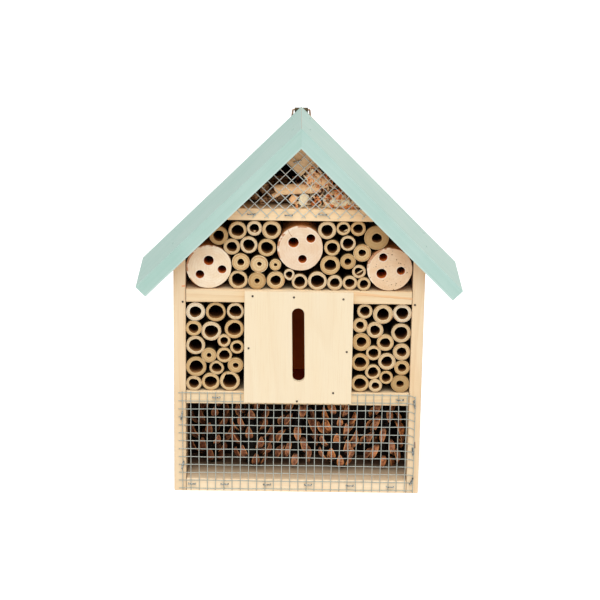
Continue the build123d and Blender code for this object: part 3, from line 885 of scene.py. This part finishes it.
# The left log gets paler shades than the others as painted light that offsets the roof's shadow on it.
left_shades = srgb(254, 238, 212), srgb(246, 222, 188)
middle_shades = srgb(243, 221, 195), srgb(235, 204, 170)
right_shades = srgb(243, 216, 184), srgb(235, 198, 156)
crack = (-0.0112, 0.2117, -54, 0.0100, 0.00035, srgb(170, 108, 66), 0.8, 0.0012)
drilled_log("left_log", "left_drilled_log", left_holes, *left_shades, False, [], 3)
drilled_log("middle_log", "middle_drilled_log", middle_holes, *middle_shades, False, [crack], 5)
drilled_log("right_log", "right_drilled_log", right_holes, *right_shades, True, [], 8)

# ---------------------------------------------------------------- Pine cones
# Five dry open cones stand in the lower room. Slender woody scales spring in spirals from a
# core painted near black as shade, with ginger edges painted as highlight, and their roots are
# painted almost black as the shade in the gaps behind them.


scale_shades = [
    (0.0, srgb(104, 58, 38)),
    (0.35, srgb(156, 98, 70)),
    (0.6, srgb(204, 142, 108)),
    (1.0, srgb(238, 144, 78)),
]


def cone_material():
    """Brown woody scale: near black at its root as painted shade, ginger along its thin edges as
    painted highlight, streaked lengthways.

    Attributes: reach is 0 at the root and 1 at the tip, edge is 1 at the thin sides, tone is each
    scale's own shade.
    """
    material, tree, shader = new_material("cone_scale")
    reach, edge, tone = marked(tree, "reach", "edge", "tone")
    cloud = noise(tree, object_place(tree), 420.0, 4.0, 0.6)
    streak = noise(tree, object_place(tree, stretched=(1500, 1500, 160)), 1.0, 2.0)
    colour = ramp(tree, tone, scale_shades)
    colour = tint(tree, colour, srgb(66, 32, 18), 0.7, cloud, 0.42, 0.62)
    colour = tint(tree, colour, srgb(198, 130, 84), 0.45, streak, 0.5, 0.75)
    middle = times(tree, grey_ramp(tree, edge, 0.75, 0.2), grey_ramp(tree, cloud, 0.3, 0.6))
    colour = tint(tree, colour, srgb(92, 46, 26), 0.6, middle)
    # Painted highlight: ginger along the thin edges, stronger on the paler scales.
    ginger = times(tree, grey_ramp(tree, edge, 0.65, 0.95), grey_ramp(tree, tone, -0.3, 0.7))
    colour = tint(tree, colour, srgb(255, 178, 112), 0.9, ginger)
    # Painted shade: roots and core go near black, as in the gaps between the scales.
    colour = blend(tree, grey_ramp(tree, reach, 0.52, 0.36), colour, srgb(14, 6, 3))
    relief = maths(tree, "ADD", cloud, streak)
    surface(tree, shader, colour, grey_ramp(tree, cloud, -1.0, 1.4), relief, 0.0002, 0.7)
    return material


cone_wood = cone_material()


room_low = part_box("floor_board")[1][2] + 0.0003
room_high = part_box("lower_shelf")[0][2] - 0.0004
fill_front, fill_back = -0.0272, back_face - 0.0004


def pine_cone(node, name, lean, upward, count, shade, seed):
    """Scales set every 137.5 degrees up a core, each a closed leaf-shaped grid.

    Along the leaf, 0 <= s <= 1, the middle line leaves the core outwards and turns along the
    axis: out sin(pi s / 2), along s^1.7. A thin stalk widens at s = 0.34 into a leaf whose half
    width follows sin(pi (0.05 + 0.92 u))^0.7 with u running from 0 there to 1 at the tip. The
    core is a tube with five twisted ribs. Upward is 1 for a cone that stands, -1 for one upside
    down.
    """
    steps, sides, core_steps, core_sides = 13, 8, 12, 16
    low, high = (np.array(corner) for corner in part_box(node))
    rng = np.random.default_rng(seed)
    axis = np.array([math.sin(lean), 0, math.cos(lean)])
    length = (high[2] - low[2]) / math.cos(lean)
    foot = (low + high) / 2 - axis * length / 2
    t = np.linspace(0, 1, 60)
    widest = (high[1] - low[1]) / 2
    profile_radius = widest / 1.01 * (3.9 * (1 - t) ** 2 * t + 4.2 * (1 - t) * t**2)
    profile_height = 2.25 * (1 - t) * t**2 + t**3
    order = np.arange(count)
    height = 0.05 + 0.87 * (order + rng.uniform(0.2, 0.8, count)) / count
    turn = order * math.radians(137.508) + rng.normal(0, 0.06, count)
    radius = np.interp(height, profile_height, profile_radius)
    depth_axis = np.array([0, 1.0, 0])
    beside = np.cross(depth_axis, axis)
    radial = np.cos(turn)[:, None] * beside + np.sin(turn)[:, None] * depth_axis
    side = np.cross(axis * upward, radial)
    side = side + np.outer(np.where(side[:, 0] < 0, -1.0, 1.0), beside) * 0.9
    side /= np.linalg.norm(side, axis=1, keepdims=True)
    reach = rng.uniform(0.0105, 0.0140, count) * (0.75 + 0.25 * radius / widest)
    wide = rng.uniform(0.0022, 0.0031, count)
    s = np.linspace(0, 1, steps)
    out = np.sin(np.pi * s / 2)[None, :, None] * (radius * rng.uniform(0.68, 0.95, count))[:, None, None]
    along = (s**1.7)[None, :, None] * reach[:, None, None]
    sway = rng.normal(0, 0.0011, count)[:, None, None] * (s**2)[None, :, None]
    start = foot + axis * (height * length)[:, None] + radial * (radius * 0.22)[:, None]
    start = start - axis * upward * (reach * 0.4)[:, None]
    line = start[:, None] + out * radial[:, None] + along * (axis * upward) + sway * side[:, None]
    tangent = np.gradient(line, axis=1)
    tangent /= np.linalg.norm(tangent, axis=2, keepdims=True)
    face = np.cross(np.broadcast_to(side[:, None], tangent.shape), tangent)
    leaf = np.clip((s - 0.34) / 0.66, 0, 1)
    half = wide[:, None] * np.maximum(np.sin(np.pi * (0.05 + 0.92 * leaf)) ** 0.7, 0.22)[None]
    thick = 0.00035 + 0.0005 * np.sin(np.pi * np.clip(s * 1.05, 0, 1))[None] * np.ones((count, 1))
    loop = np.linspace(0, 2 * np.pi, sides, endpoint=False)
    spread = np.cos(loop)
    offset_side = half[:, :, None] * spread
    offset_face = thick[:, :, None] * np.sin(loop) + (spread**2) * 0.0008 * np.sin(np.pi * s)[None, :, None]
    scales = line[:, :, None] + offset_side[..., None] * side[:, None, None]
    scales = (scales + offset_face[..., None] * face[:, :, None]).reshape(-1, 3)
    core_t = np.linspace(0.03, 0.97, core_steps)
    core_radius = 0.3 * np.interp(core_t, profile_height, profile_radius)
    core_turn = np.linspace(0, 2 * np.pi, core_sides, endpoint=False)
    ribs = core_radius[:, None] * (1 + 0.12 * np.sin(5 * core_turn + 9 * core_t[:, None]))
    ring = np.cos(core_turn)[:, None] * beside + np.sin(core_turn)[:, None] * depth_axis
    core = foot + axis * (core_t * length)[:, None, None] + ribs[..., None] * ring
    points = np.concatenate([scales, core.reshape(-1, 3)])
    points[:, 1] = np.clip(points[:, 1], fill_front, fill_back)
    points[:, 2] = np.clip(points[:, 2], room_low, room_high)
    quads, ends = tube_faces(steps, sides, count, turned=True)
    core_quads, core_ends = (faces + len(scales) for faces in tube_faces(core_steps, core_sides))
    marks = {
        "reach": (s[None, :, None], 0.0),
        "edge": (np.abs(spread)[None, None], 0.0),
        "tone": (rng.uniform(*shade, count)[:, None, None], 0.2),
    }
    for mark, (scale_value, core_value) in marks.items():
        spread_out = np.broadcast_to(scale_value, (count, steps, sides)).ravel()
        marks[mark] = np.concatenate([spread_out, np.full(core_steps * core_sides, core_value)])
    made = shown_mesh(name, points, [np.concatenate([quads, core_quads]), ends, core_ends], marks)
    join_piece(made, cone_wood, [node])


for number, (name, lean, upward, count, shade) in enumerate((
    ("first_cone", 4, 1, 27, (0.0, 0.4)),
    ("second_cone", -4, 1, 28, (0.1, 0.5)),
    ("third_cone", 4, -1, 27, (0.3, 0.75)),
    ("fourth_cone", -4, 1, 30, (0.55, 1.0)),
    ("fifth_cone", 3, -1, 27, (0.4, 1.0)),
)):
    pine_cone(f"pine_cone_{number + 1}", name, math.radians(lean), upward, count, shade, 21 + number)

# ---------------------------------------------------------------- Bark
# Three broken pieces of pine bark and three small chips lie on the attic shelf. They are
# rough flaky lumps, dark in their furrows and worn tan on the crests.


def bark_material():
    """Bark in flat flakes: a cell pattern gives the furrows, noise the tan crests."""
    material, tree, shader = new_material("pine_bark")
    place = object_place(tree, stretched=(1, 1, 2.2))
    sockets = ("Vector", place), ("Scale", 260.0)
    cells = add_node(tree, "ShaderNodeTexVoronoi", *sockets, feature="DISTANCE_TO_EDGE")
    furrow = grey_ramp(tree, cells.outputs["Distance"], 0.16, 0.0)
    cloud = noise(tree, place, 240.0, 5.0, 0.65)
    colour = blend(tree, grey_ramp(tree, cloud, 0.3, 0.7), srgb(136, 94, 60), srgb(206, 164, 120))
    colour = tint(tree, colour, srgb(58, 30, 16), 0.8, furrow)
    surface(tree, shader, colour, 0.9, maths(tree, "SUBTRACT", cloud, furrow), 0.0009, 0.8)
    return material


bark_skin = bark_material()


def bark_chip(name, low, high, turn, replaced, seed):
    """A closed lump between two corners: a superellipsoid, |cos|^0.45, dented by layered waves.

    Rings run from pole to pole and each pole is one many-sided cap. The lump is turned about z
    by turn and made smaller so that it stays between the corners.
    """
    steps, sides = 30, 64
    low, high = np.array(low), np.array(high)
    middle, half = (low + high) / 2, (high - low) / 2
    rng = np.random.default_rng(seed)
    rise = np.linspace(-0.49 * np.pi, 0.49 * np.pi, steps)[:, None]
    around = np.linspace(0, 2 * np.pi, sides, endpoint=False)[None, :]

    def boxy(wave):
        return np.sign(wave) * np.abs(wave) ** 0.45

    x = boxy(np.cos(rise)) * boxy(np.cos(around))
    y = boxy(np.cos(rise)) * boxy(np.sin(around))
    z = boxy(np.sin(rise)) + 0 * around
    dent = 0.9 + 0 * x
    for size, depth in ((2.3, 0.05), (5.0, 0.035), (11.0, 0.02)):
        a, b, c, d = rng.uniform(-size, size, 4)
        dent = dent + depth * np.sin(a * x + b * y + c * z + d) * np.sin(size * z + d * x)
    dent = np.minimum(dent, 1.0)
    points = np.stack([x * dent, y * dent, z * np.clip(dent * 1.04, 0, 1)], -1)
    share = 1 / (abs(math.cos(turn)) + abs(math.sin(turn)) * half[1] / half[0])
    size = half * np.array([share, share, 1.0])
    points = points * size
    turned = points[..., 0] * math.cos(turn) - points[..., 1] * math.sin(turn)
    points[..., 1] = points[..., 0] * math.sin(turn) + points[..., 1] * math.cos(turn)
    points[..., 0] = turned
    made = shown_mesh(name, (points + middle).reshape(-1, 3), tube_faces(steps, sides))
    join_piece(made, bark_skin, replaced)


for number, turn in ((1, 8), (2, -4), (3, -5)):
    node = f"bark_piece_{number}"
    bark_chip(f"bark_chip_{number}", *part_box(node), math.radians(turn), [node], 30 + number)
loose_chips = [
    ((-0.0310, -0.0170, 0.2330), (-0.0225, -0.0090, 0.2420), 20),
    ((-0.0370, -0.0190, 0.2290), (-0.0300, -0.0120, 0.2345), -15),
    ((-0.0310, -0.0210, 0.2257), (-0.0230, -0.0150, 0.2322), 10),
]
for number, (low, high, turn) in enumerate(loose_chips):
    bark_chip(f"loose_bark_{number + 1}", low, high, math.radians(turn), [], 37 + number)

# ---------------------------------------------------------------- Wood wool
# Loose planer shavings heaped up to the roof at the right of the attic, with seven broad
# curls in front, the longest lying across the bark. Each is a thin ribbon rolled round its
# own axis, pale outside and painted dark ginger inside the roll as self-shadow, and the
# ribbons deep in the heap are painted brown as shade.

ribbon_shades = [
    (0.0, srgb(218, 120, 62)),
    (0.25, srgb(255, 174, 110)),
    (0.6, srgb(255, 212, 160)),
    (0.92, srgb(255, 242, 204)),
]


def shavings_material():
    """Thin peach-coloured shavings, from ginger to pale cream by each ribbon's own tone.

    Attributes: tone is each ribbon's own shade, inside is 1 on the inner side of its roll, which
    is painted dark ginger as self-shadow. The shavings deep in the heap are painted brown as shade.
    """
    material, tree, shader = new_material("wood_shavings")
    tone, inside = marked(tree, "tone", "inside")
    place = object_place(tree)
    cloud = noise(tree, place, 300.0, 3.0)
    colour = ramp(tree, tone, ribbon_shades)
    colour = tint(tree, colour, srgb(226, 146, 92), 0.35, cloud, 0.5, 0.75)
    # Painted self-shadow: the inner side of each roll goes dark ginger.
    colour = tint(tree, colour, srgb(136, 54, 18), 0.78, inside)
    # Painted shade: ribbons deep in the heap go dark brown.
    colour = tint(tree, colour, srgb(96, 34, 10), 0.88, axes(tree, place)["Y"], -0.0228, -0.0140)
    surface(tree, shader, colour, 0.75, cloud, 0.0002, 0.5)
    return material


shavings = shavings_material()
heap_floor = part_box("attic_shelf")[1][2] + 0.00015
heap_front = fill_front - 0.0002


def heaped(name, rolls, tone, thick, steps, gap, replaced):
    """Closed ribbons rolled round their own axes, kept inside the attic by a gap under the roof.

    Rolls holds the middle, axis, start angle, radius, sweep, width and travel of each ribbon.
    Angle start + sweep s from the front, radius (1 - 0.35 s) r, shifted travel s along the axis.
    Each section is a flat rectangle of four points, width along the axis and thick across it,
    the first two inside the roll.
    """
    middle, axis, start, radius, sweep, width, travel = rolls
    s = np.linspace(0, 1, steps)[None, :]
    axis = axis / np.linalg.norm(axis, axis=1, keepdims=True)
    helper = np.where(np.abs(axis[:, 2:3]) > 0.8, [[1.0, 0, 0]], [[0, 0, 1.0]])
    first = np.cross(axis, helper)
    first /= np.linalg.norm(first, axis=1, keepdims=True) * np.where(first[:, 1:2] > 0, -1, 1)
    second = np.cross(axis, first)
    angle = start[:, None] + sweep[:, None] * s
    out = np.cos(angle)[..., None] * first[:, None] + np.sin(angle)[..., None] * second[:, None]
    reach = (radius[:, None] * (1 - 0.35 * s))[..., None]
    line = middle[:, None] + reach * out + (travel[:, None] * s)[..., None] * axis[:, None]
    taper = 0.25 + 0.75 * np.sin(np.pi * (0.08 + 0.84 * s)) ** 0.5
    wide = (width[:, None] * taper)[..., None] * axis[:, None]
    corners = ((-0.5, -0.5), (0.5, -0.5), (0.5, 0.5), (-0.5, 0.5))
    points = np.stack([line + a * wide + b * thick * out for a, b in corners], 2).reshape(-1, 3)
    points[:, 2] = np.clip(points[:, 2], heap_floor, ridge_under - np.abs(points[:, 0]) - gap)
    points[:, 1] = np.clip(points[:, 1], heap_front, fill_back)
    marks = {"tone": np.repeat(tone, steps * 4), "inside": np.tile([1.0, 1.0, 0.0, 0.0], len(points) // 4)}
    made = shown_mesh(name, points, tube_faces(steps, 4, len(middle)), marks, False)
    join_piece(made, shavings, replaced)


rng = np.random.default_rng(41)
count = 900
radius = rng.uniform(0.0012, 0.0050, count)
sweep = rng.uniform(0.5, 2.8, count)
behind = 0.034 * rng.uniform(0, 1, count) ** 2.6
middle = np.stack([rng.uniform(-0.004, 0.043, count), -0.0262 + radius + behind, np.zeros(count)], 1)
heap_low, heap_top = 0.227, 0.262
room = np.minimum(ridge_under - np.abs(middle[:, 0]) - 0.006, heap_top) - heap_low
middle[:, 2] = heap_low + room * rng.uniform(0, 1, count) ** 1.05
# The hollow left of the batten stays empty, and the ribbons behind the long curl lie deeper.
high = middle[:, 2] > 0.2415
middle[high, 0] = np.maximum(middle[high, 0], 0.0065)
by_curl = (middle[:, 0] < 0.009) & (np.abs(middle[:, 2] - 0.2365) < 0.006)
middle[by_curl, 1] = np.maximum(middle[by_curl, 1], -0.0125)
axis = rng.normal(0, 1, (count, 3)) * (1.0, 0.45, 0.8)
facing = rng.uniform(0, 1, count) < 0.7
start = np.where(facing, rng.normal(0, 0.6, count) - sweep / 2, rng.uniform(0, 2 * np.pi, count))
width = 0.0007 + 0.0046 * rng.uniform(0, 1, count) ** 2.3
travel = rng.normal(0, 0.004, count)
tone = np.clip(rng.normal(0.58, 0.42, count), 0, 1)
rolls = (middle, axis, start, radius, sweep, width, travel)
heaped("wood_wool_ribbons", rolls, tone, 0.00035, 16, 0.0022, ["wood_wool"])

curls = np.array([
    # middle x, y, z, axis x, y, z, start angle, radius, sweep, width, travel, tone
    (-0.0030, -0.0216, 0.2378, 1, 0.04, 0.05, -2.3, 0.0048, 3.0, 0.034, 0.001, 0.62),
    (0.013, -0.0215, 0.2455, 1, -0.2, -0.35, -2.2, 0.0045, 3.4, 0.014, 0.002, 0.62),
    (-0.0180, -0.0235, 0.2343, 0.9, 0.1, 0.5, -1.9, 0.0020, 2.6, 0.006, 0.001, 0.60),
    (0.0030, -0.0203, 0.2315, 0.3, 0.0, 1.0, -0.65, 0.0062, 1.3, 0.0095, 0.0, 1.0),
    (0.0330, -0.0222, 0.2290, 0.9, 0.1, 0.3, -0.9, 0.0045, 1.5, 0.0070, 0.0, 1.0),
    (0.0245, -0.0222, 0.2288, 0.8, 0.1, -0.6, -0.9, 0.0045, 1.4, 0.0060, 0.0, 0.95),
    (-0.0052, -0.0225, 0.2315, 0.6, 0.1, 0.8, -1.0, 0.0036, 2.2, 0.0060, 0.001, 0.50),
])
rolls = (curls[:, :3], curls[:, 3:6], *curls[:, 6:11].T)
heaped("broad_curls", rolls, curls[:, 11], 0.0006, 40, 0.0006, [])

# ---------------------------------------------------------------- Wire meshes
# Welded quarter-inch mesh of round galvanised wire. The lower piece is stapled over the
# cones and bends a little at its right edge, the upper one is cut to the roof's angle.


def zinc(name, dull, bright):
    """Dull zinc: pale grey-green with fine mottling."""
    material, tree, shader = new_material(name)
    cloud = noise(tree, object_place(tree), 900.0, 3.0)
    colour = blend(tree, grey_ramp(tree, cloud, 0.3, 0.7), dull, bright)
    shader.inputs["Metallic"].default_value = 0.25
    surface(tree, shader, colour, grey_ramp(tree, cloud, -1.2, 1.6), cloud, 0.00006, 0.5)
    return material


def wires(paths, radius, sides=8):
    """Closed round wires. Paths is wires x points x 3, all with the same number of points.

    Section: path + radius (cos a u + sin a v), with u and v square to the path's direction.
    """
    count, steps, _ = paths.shape
    along = np.gradient(paths, axis=1)
    along /= np.linalg.norm(along, axis=2, keepdims=True)
    helper = np.where(np.abs(along[..., 1:2]) > 0.9, [1.0, 0, 0], [0, 1.0, 0])
    u = np.cross(along, helper)
    u /= np.linalg.norm(u, axis=2, keepdims=True)
    v = np.cross(along, u)
    angle = np.linspace(0, 2 * np.pi, sides, endpoint=False)[:, None]
    points = paths[:, :, None] + radius * (np.cos(angle) * u[:, :, None] + np.sin(angle) * v[:, :, None])
    return [points.reshape(-1, 3), *tube_faces(steps, sides, count)]


def joined_wires(name, groups, material, replaced):
    """One object from several groups of wires."""
    firsts = np.cumsum([0] + [len(points) for points, _, _ in groups])
    points = np.concatenate([group[0] for group in groups])
    quads, ends = (
        np.concatenate([group[kind] + first for group, first in zip(groups, firsts)]) for kind in (1, 2)
    )
    return join_piece(shown_mesh(name, points, [quads, ends]), material, [replaced])


rng = np.random.default_rng(51)
galvanised = zinc("galvanised_wire", srgb(170, 176, 168), srgb(196, 200, 191))
# Painted highlight: the attic mesh gets paler zinc, as its wires lie at 45 degrees and catch the light.
highlit_galvanised = zinc("galvanised_attic_wire", srgb(192, 202, 198), srgb(222, 228, 222))
wire_radius = 0.0003
pitch, rise = 0.00635, 0.0065
columns, rows = 29, 13
mesh_left, mesh_right, mesh_low = -0.0901, 0.0893, 0.0024
mesh_top = mesh_low + (rows - 1) * rise
overrun = 0.0012
notch_half, notch_low = 0.041, 0.0733
right_wall_middle = 0.083
front_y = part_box("left_side_wall")[0][1]
level_y, upright_y = front_y - 0.00034, front_y - 0.00094


def sagging(x, z):
    """The mesh's droop past the right wall, (1.9 mm) t^2 growing with height, t = (x - 83 mm) / 6 mm."""
    past = np.clip((x - right_wall_middle) / 0.006, 0, 1.1)
    return -0.0019 * past**2 * np.clip(z / 0.05, 0.15, 1)


def upright_wires(x, low, high):
    """Wires standing at each x from low to high, with a slow sideways wobble."""
    s = np.linspace(0, 1, 40)[None, :]
    x = x[:, None]
    z = low + (high - low) * s + 0 * x
    phase = rng.uniform(0, 2 * np.pi, (2, len(x), 1))
    px = x + 0.00012 * np.sin(z * 70 + phase[0]) + 0.0001 * np.sin(z * 190 + phase[1])
    py = upright_y + 0.00008 * np.sin(z * 90 + phase[1])
    return wires(np.stack([px, py + 0 * z, z + sagging(px, z)], -1), wire_radius)


def level_wires(z, left, right):
    """Wires lying at each z from left to right, with a slow wobble and the droop at the right."""
    s = np.linspace(0, 1, 90)[None, :]
    z = z[:, None]
    x = left + (right - left) * s + 0 * z
    phase = rng.uniform(0, 2 * np.pi, (2, len(z), 1))
    pz = z + 0.00012 * np.sin(x * 60 + phase[0]) + 0.00008 * np.sin(x * 210 + phase[1])
    pz = np.maximum(pz + sagging(x, pz), 0.0009)
    return wires(np.stack([x, level_y + 0 * x, pz], -1), wire_radius)


column_x = (np.arange(columns) - columns // 2) * pitch * 0.992 + 0.0011
row_z = mesh_low + rise * np.arange(rows)
covered = np.abs(column_x) < notch_half
under_panel = row_z < notch_low
lower_wires = [
    upright_wires(column_x[~covered], mesh_low - 0.0011, mesh_top + overrun),
    upright_wires(column_x[covered], mesh_low - 0.0011, notch_low),
    level_wires(row_z[under_panel], mesh_left, mesh_right),
    level_wires(row_z[~under_panel], mesh_left, -notch_half),
    level_wires(row_z[~under_panel], notch_half, mesh_right),
]
joined_wires("lower_wire_mesh", lower_wires, galvanised, "lower_mesh")

attic_low, attic_top = (corner[2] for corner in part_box("attic_mesh"))
half_root = 0.5**0.5


def sloping_wires(side, shift, depth_y):
    """Wires parallel to one roof slope, each from the other slope down to just past the shelf.

    The first starts at the share shift of a pitch from the roof.
    """
    step = (wire_radius + (np.arange(rows - 1) + shift) * pitch) * half_root
    top_x, top_z = side * step, attic_top - step
    bottom = attic_low + rng.uniform(-0.0004, 0.0016, len(step))
    run = top_z - bottom
    keep = run > 0.002
    s = np.linspace(0, 1, 30)[None, :]
    top_x, top_z, run = (values[keep][:, None] for values in (top_x, top_z, run))
    phase = rng.uniform(0, 2 * np.pi, (len(run), 1))
    bend = 0.00014 * np.sin(s * 6 + phase)
    x = top_x - side * run * s + bend
    z = top_z - run * s + side * bend
    return wires(np.stack([x, depth_y + 0 * x, z], -1), wire_radius)


attic_wires = [sloping_wires(-1, 0.5, level_y), sloping_wires(1, 0, upright_y)]
joined_wires("attic_wire_mesh", attic_wires, highlit_galvanised, "attic_mesh")

# ---------------------------------------------------------------- Staples
# Small wire staples hold both meshes. Each crown lies over a wire and its two legs go
# down into the wood, where the cut ends have gone dark.


def dark_steel(name, pale, dark, metallic, roughness):
    """Steel with dark oxide patches."""
    material, tree, shader = new_material(name)
    cloud = noise(tree, object_place(tree), 800.0, 3.0)
    colour = blend(tree, grey_ramp(tree, cloud, 0.35, 0.65), pale, dark)
    shader.inputs["Metallic"].default_value = metallic
    surface(tree, shader, colour, roughness, cloud, 0.00005, 0.5)
    return material


staple_steel = dark_steel("staple_steel", srgb(196, 202, 198), srgb(30, 28, 26), 0.3, 0.45)
staple_outline = [
    (-1.0, -0.0283),
    (-1.0, -0.0287),
    (-1.0, -0.0292),
    (-0.96, -0.0295),
    (-0.88, -0.02965),
    (-0.4, -0.02965),
]
staple_outline += [(-share, y) for share, y in reversed(staple_outline)]


def staple_rows(node, name):
    """Round-wire staples in place of the CAD bars, thicker on the walls.

    The outline gives y at shares of the half crown: up one leg, along the crown, down the other.
    """
    share, y = np.array(staple_outline).T
    thin, thick = [], []
    for solid in islands(node):
        middle = solid.mean(0)
        flat = (solid - middle)[:, (0, 2)]
        direction = np.linalg.eigh(flat.T @ flat)[1][:, 1]
        half = np.abs(flat @ direction).max() - 0.0003
        reach = half * share
        path = np.stack([middle[0] + direction[0] * reach, y, middle[2] + direction[1] * reach], 1)
        (thick if abs(middle[0]) > inner_half + 0.0015 else thin).append(path)
    groups = [wires(np.array(kind), radius) for kind, radius in ((thin, 0.0005), (thick, 0.0007)) if kind]
    joined_wires(name, groups, staple_steel, node)


staple_rows("lower_mesh_staples", "lower_staples")
staple_rows("attic_mesh_staples", "attic_staples")

# ---------------------------------------------------------------- Nails
# Thin nails with flat heads, driven flush. Those of the roof went in before it was
# painted, so they carry the same paint.

nail_steel = dark_steel("nail_steel", srgb(120, 108, 94), srgb(58, 50, 44), 0.5, 0.55)


def nail_heads(node, name, material, facing):
    """Domed heads in place of the CAD discs, each a lathe turned about the facing direction.

    The profile is (share of the disc's radius, share of its height).
    """
    facing = np.array(facing, float)
    profile = np.array([(0.8, 0.0), (0.8, 0.55), (0.74, 0.8), (0.56, 0.93), (0.28, 0.99), (0.08, 1.0)])
    sides = 20
    angle = np.linspace(0, 2 * np.pi, sides, endpoint=False)[:, None]
    u = np.cross(facing, [0, 1.0, 0] if abs(facing[1]) < 0.5 else [1.0, 0, 0])
    u /= np.linalg.norm(u)
    spin = np.cos(angle) * u + np.sin(angle) * np.cross(facing, u)
    blocks = []
    for solid in islands(node):
        level = solid @ facing
        middle = solid.mean(0)
        off = (solid - middle) - ((solid - middle) @ facing)[:, None] * facing
        base = middle + facing * (level.min() - middle @ facing)
        rise = profile[:, 1][:, None, None] * (level.max() - level.min()) * facing
        blocks.append(base + rise + profile[:, 0][:, None, None] * np.linalg.norm(off, axis=1).max() * spin)
    points = np.stack(blocks).reshape(-1, 3)
    made = shown_mesh(name, points, tube_faces(len(profile), sides, len(blocks)))
    join_piece(made, material, [node])


nail_heads("front_panel_nails", "panel_nail_heads", nail_steel, (0, -1, 0))
nail_heads("wall_nails", "wall_nail_heads", nail_steel, (0, -1, 0))
nail_heads("back_panel_nails", "back_nail_heads", nail_steel, (0, 1, 0))
painted_head, tree, shader = new_material("painted_nail_head")
shade = grey_ramp(tree, noise(tree, object_place(tree), 400.0), 0.3, 0.7)
tree.links.new(blend(tree, shade, srgb(186, 211, 202), srgb(176, 202, 192)), shader.inputs["Base Color"])
shader.inputs["Roughness"].default_value = 0.7
nail_heads("left_roof_nails", "left_roof_heads", painted_head, (-half_root, 0, half_root))
nail_heads("right_roof_nails", "right_roof_heads", painted_head, (half_root, 0, half_root))

# ---------------------------------------------------------------- Hanger
# A bronzed strap is screwed behind the ridge and rolled into an eye. A wire ring hangs in
# the eye and swings up over a nail.

bronzed_strap = dark_steel("bronzed_strap", srgb(98, 86, 62), srgb(52, 44, 32), 0.7, 0.45)
bronzed_wire = dark_steel("bronzed_wire", srgb(206, 174, 150), srgb(146, 110, 88), 0.6, 0.4)
planed("hanger_strap", "hanger_strap_plate", bronzed_strap, 0.00012, 2)
planed("hanger_screws", "hanger_screw_heads", bronzed_strap, 0.0001, 2)

ring_low, ring_high = (np.array(corner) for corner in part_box("hanger_ring"))
ring_radius = (ring_high[1] - ring_low[1]) / 2
ring_y = (ring_high[1] + ring_low[1]) / 2
ring_top_z, ring_bottom_z = ring_high[2] - ring_radius, ring_low[2] + ring_radius
top_half, bottom_half = 0.0063, ring_high[0] - ring_radius
top_bend, bottom_bend = 0.0009, 0.0035
corners = [
    (-top_half, ring_top_z, top_bend),
    (-bottom_half, ring_bottom_z, bottom_bend),
    (bottom_half, ring_bottom_z, bottom_bend),
    (top_half, ring_top_z, top_bend),
]
steps, sides = 14, 16
path = []
for number, (x, z, bend) in enumerate(corners):
    here = np.array([x, z])
    before = np.array(corners[number - 1][:2]) - here
    after = np.array(corners[(number + 1) % 4][:2]) - here
    before, after = before / np.linalg.norm(before), after / np.linalg.norm(after)
    opening = math.acos(float(before @ after))
    centre = here + (before + after) / np.linalg.norm(before + after) * bend / math.sin(opening / 2)
    reach = bend / math.tan(opening / 2)
    one, two = here + before * reach - centre, here + after * reach - centre
    s = np.linspace(0, 1, steps)[:, None]
    sweep = math.pi - opening
    path.append(centre + (np.sin((1 - s) * sweep) * one + np.sin(s * sweep) * two) / math.sin(sweep))
path = np.concatenate(path)
path = np.stack([path[:, 0], np.full(len(path), ring_y), path[:, 1]], 1)
along = np.roll(path, -1, 0) - np.roll(path, 1, 0)
along /= np.linalg.norm(along, axis=1, keepdims=True)
depth_axis = np.array([0, 1.0, 0])
across = np.cross(along, depth_axis)
angle = np.linspace(0, 2 * np.pi, sides, endpoint=False)[:, None]
points = path[:, None] + ring_radius * (np.cos(angle) * across[:, None] + np.sin(angle) * depth_axis)
quads = grid_faces(len(path), sides, True, True)[:, ::-1]
ring = shown_mesh("hanger_wire_ring", points.reshape(-1, 3), [quads])
join_piece(ring, bronzed_wire, ["hanger_ring"], "ring")
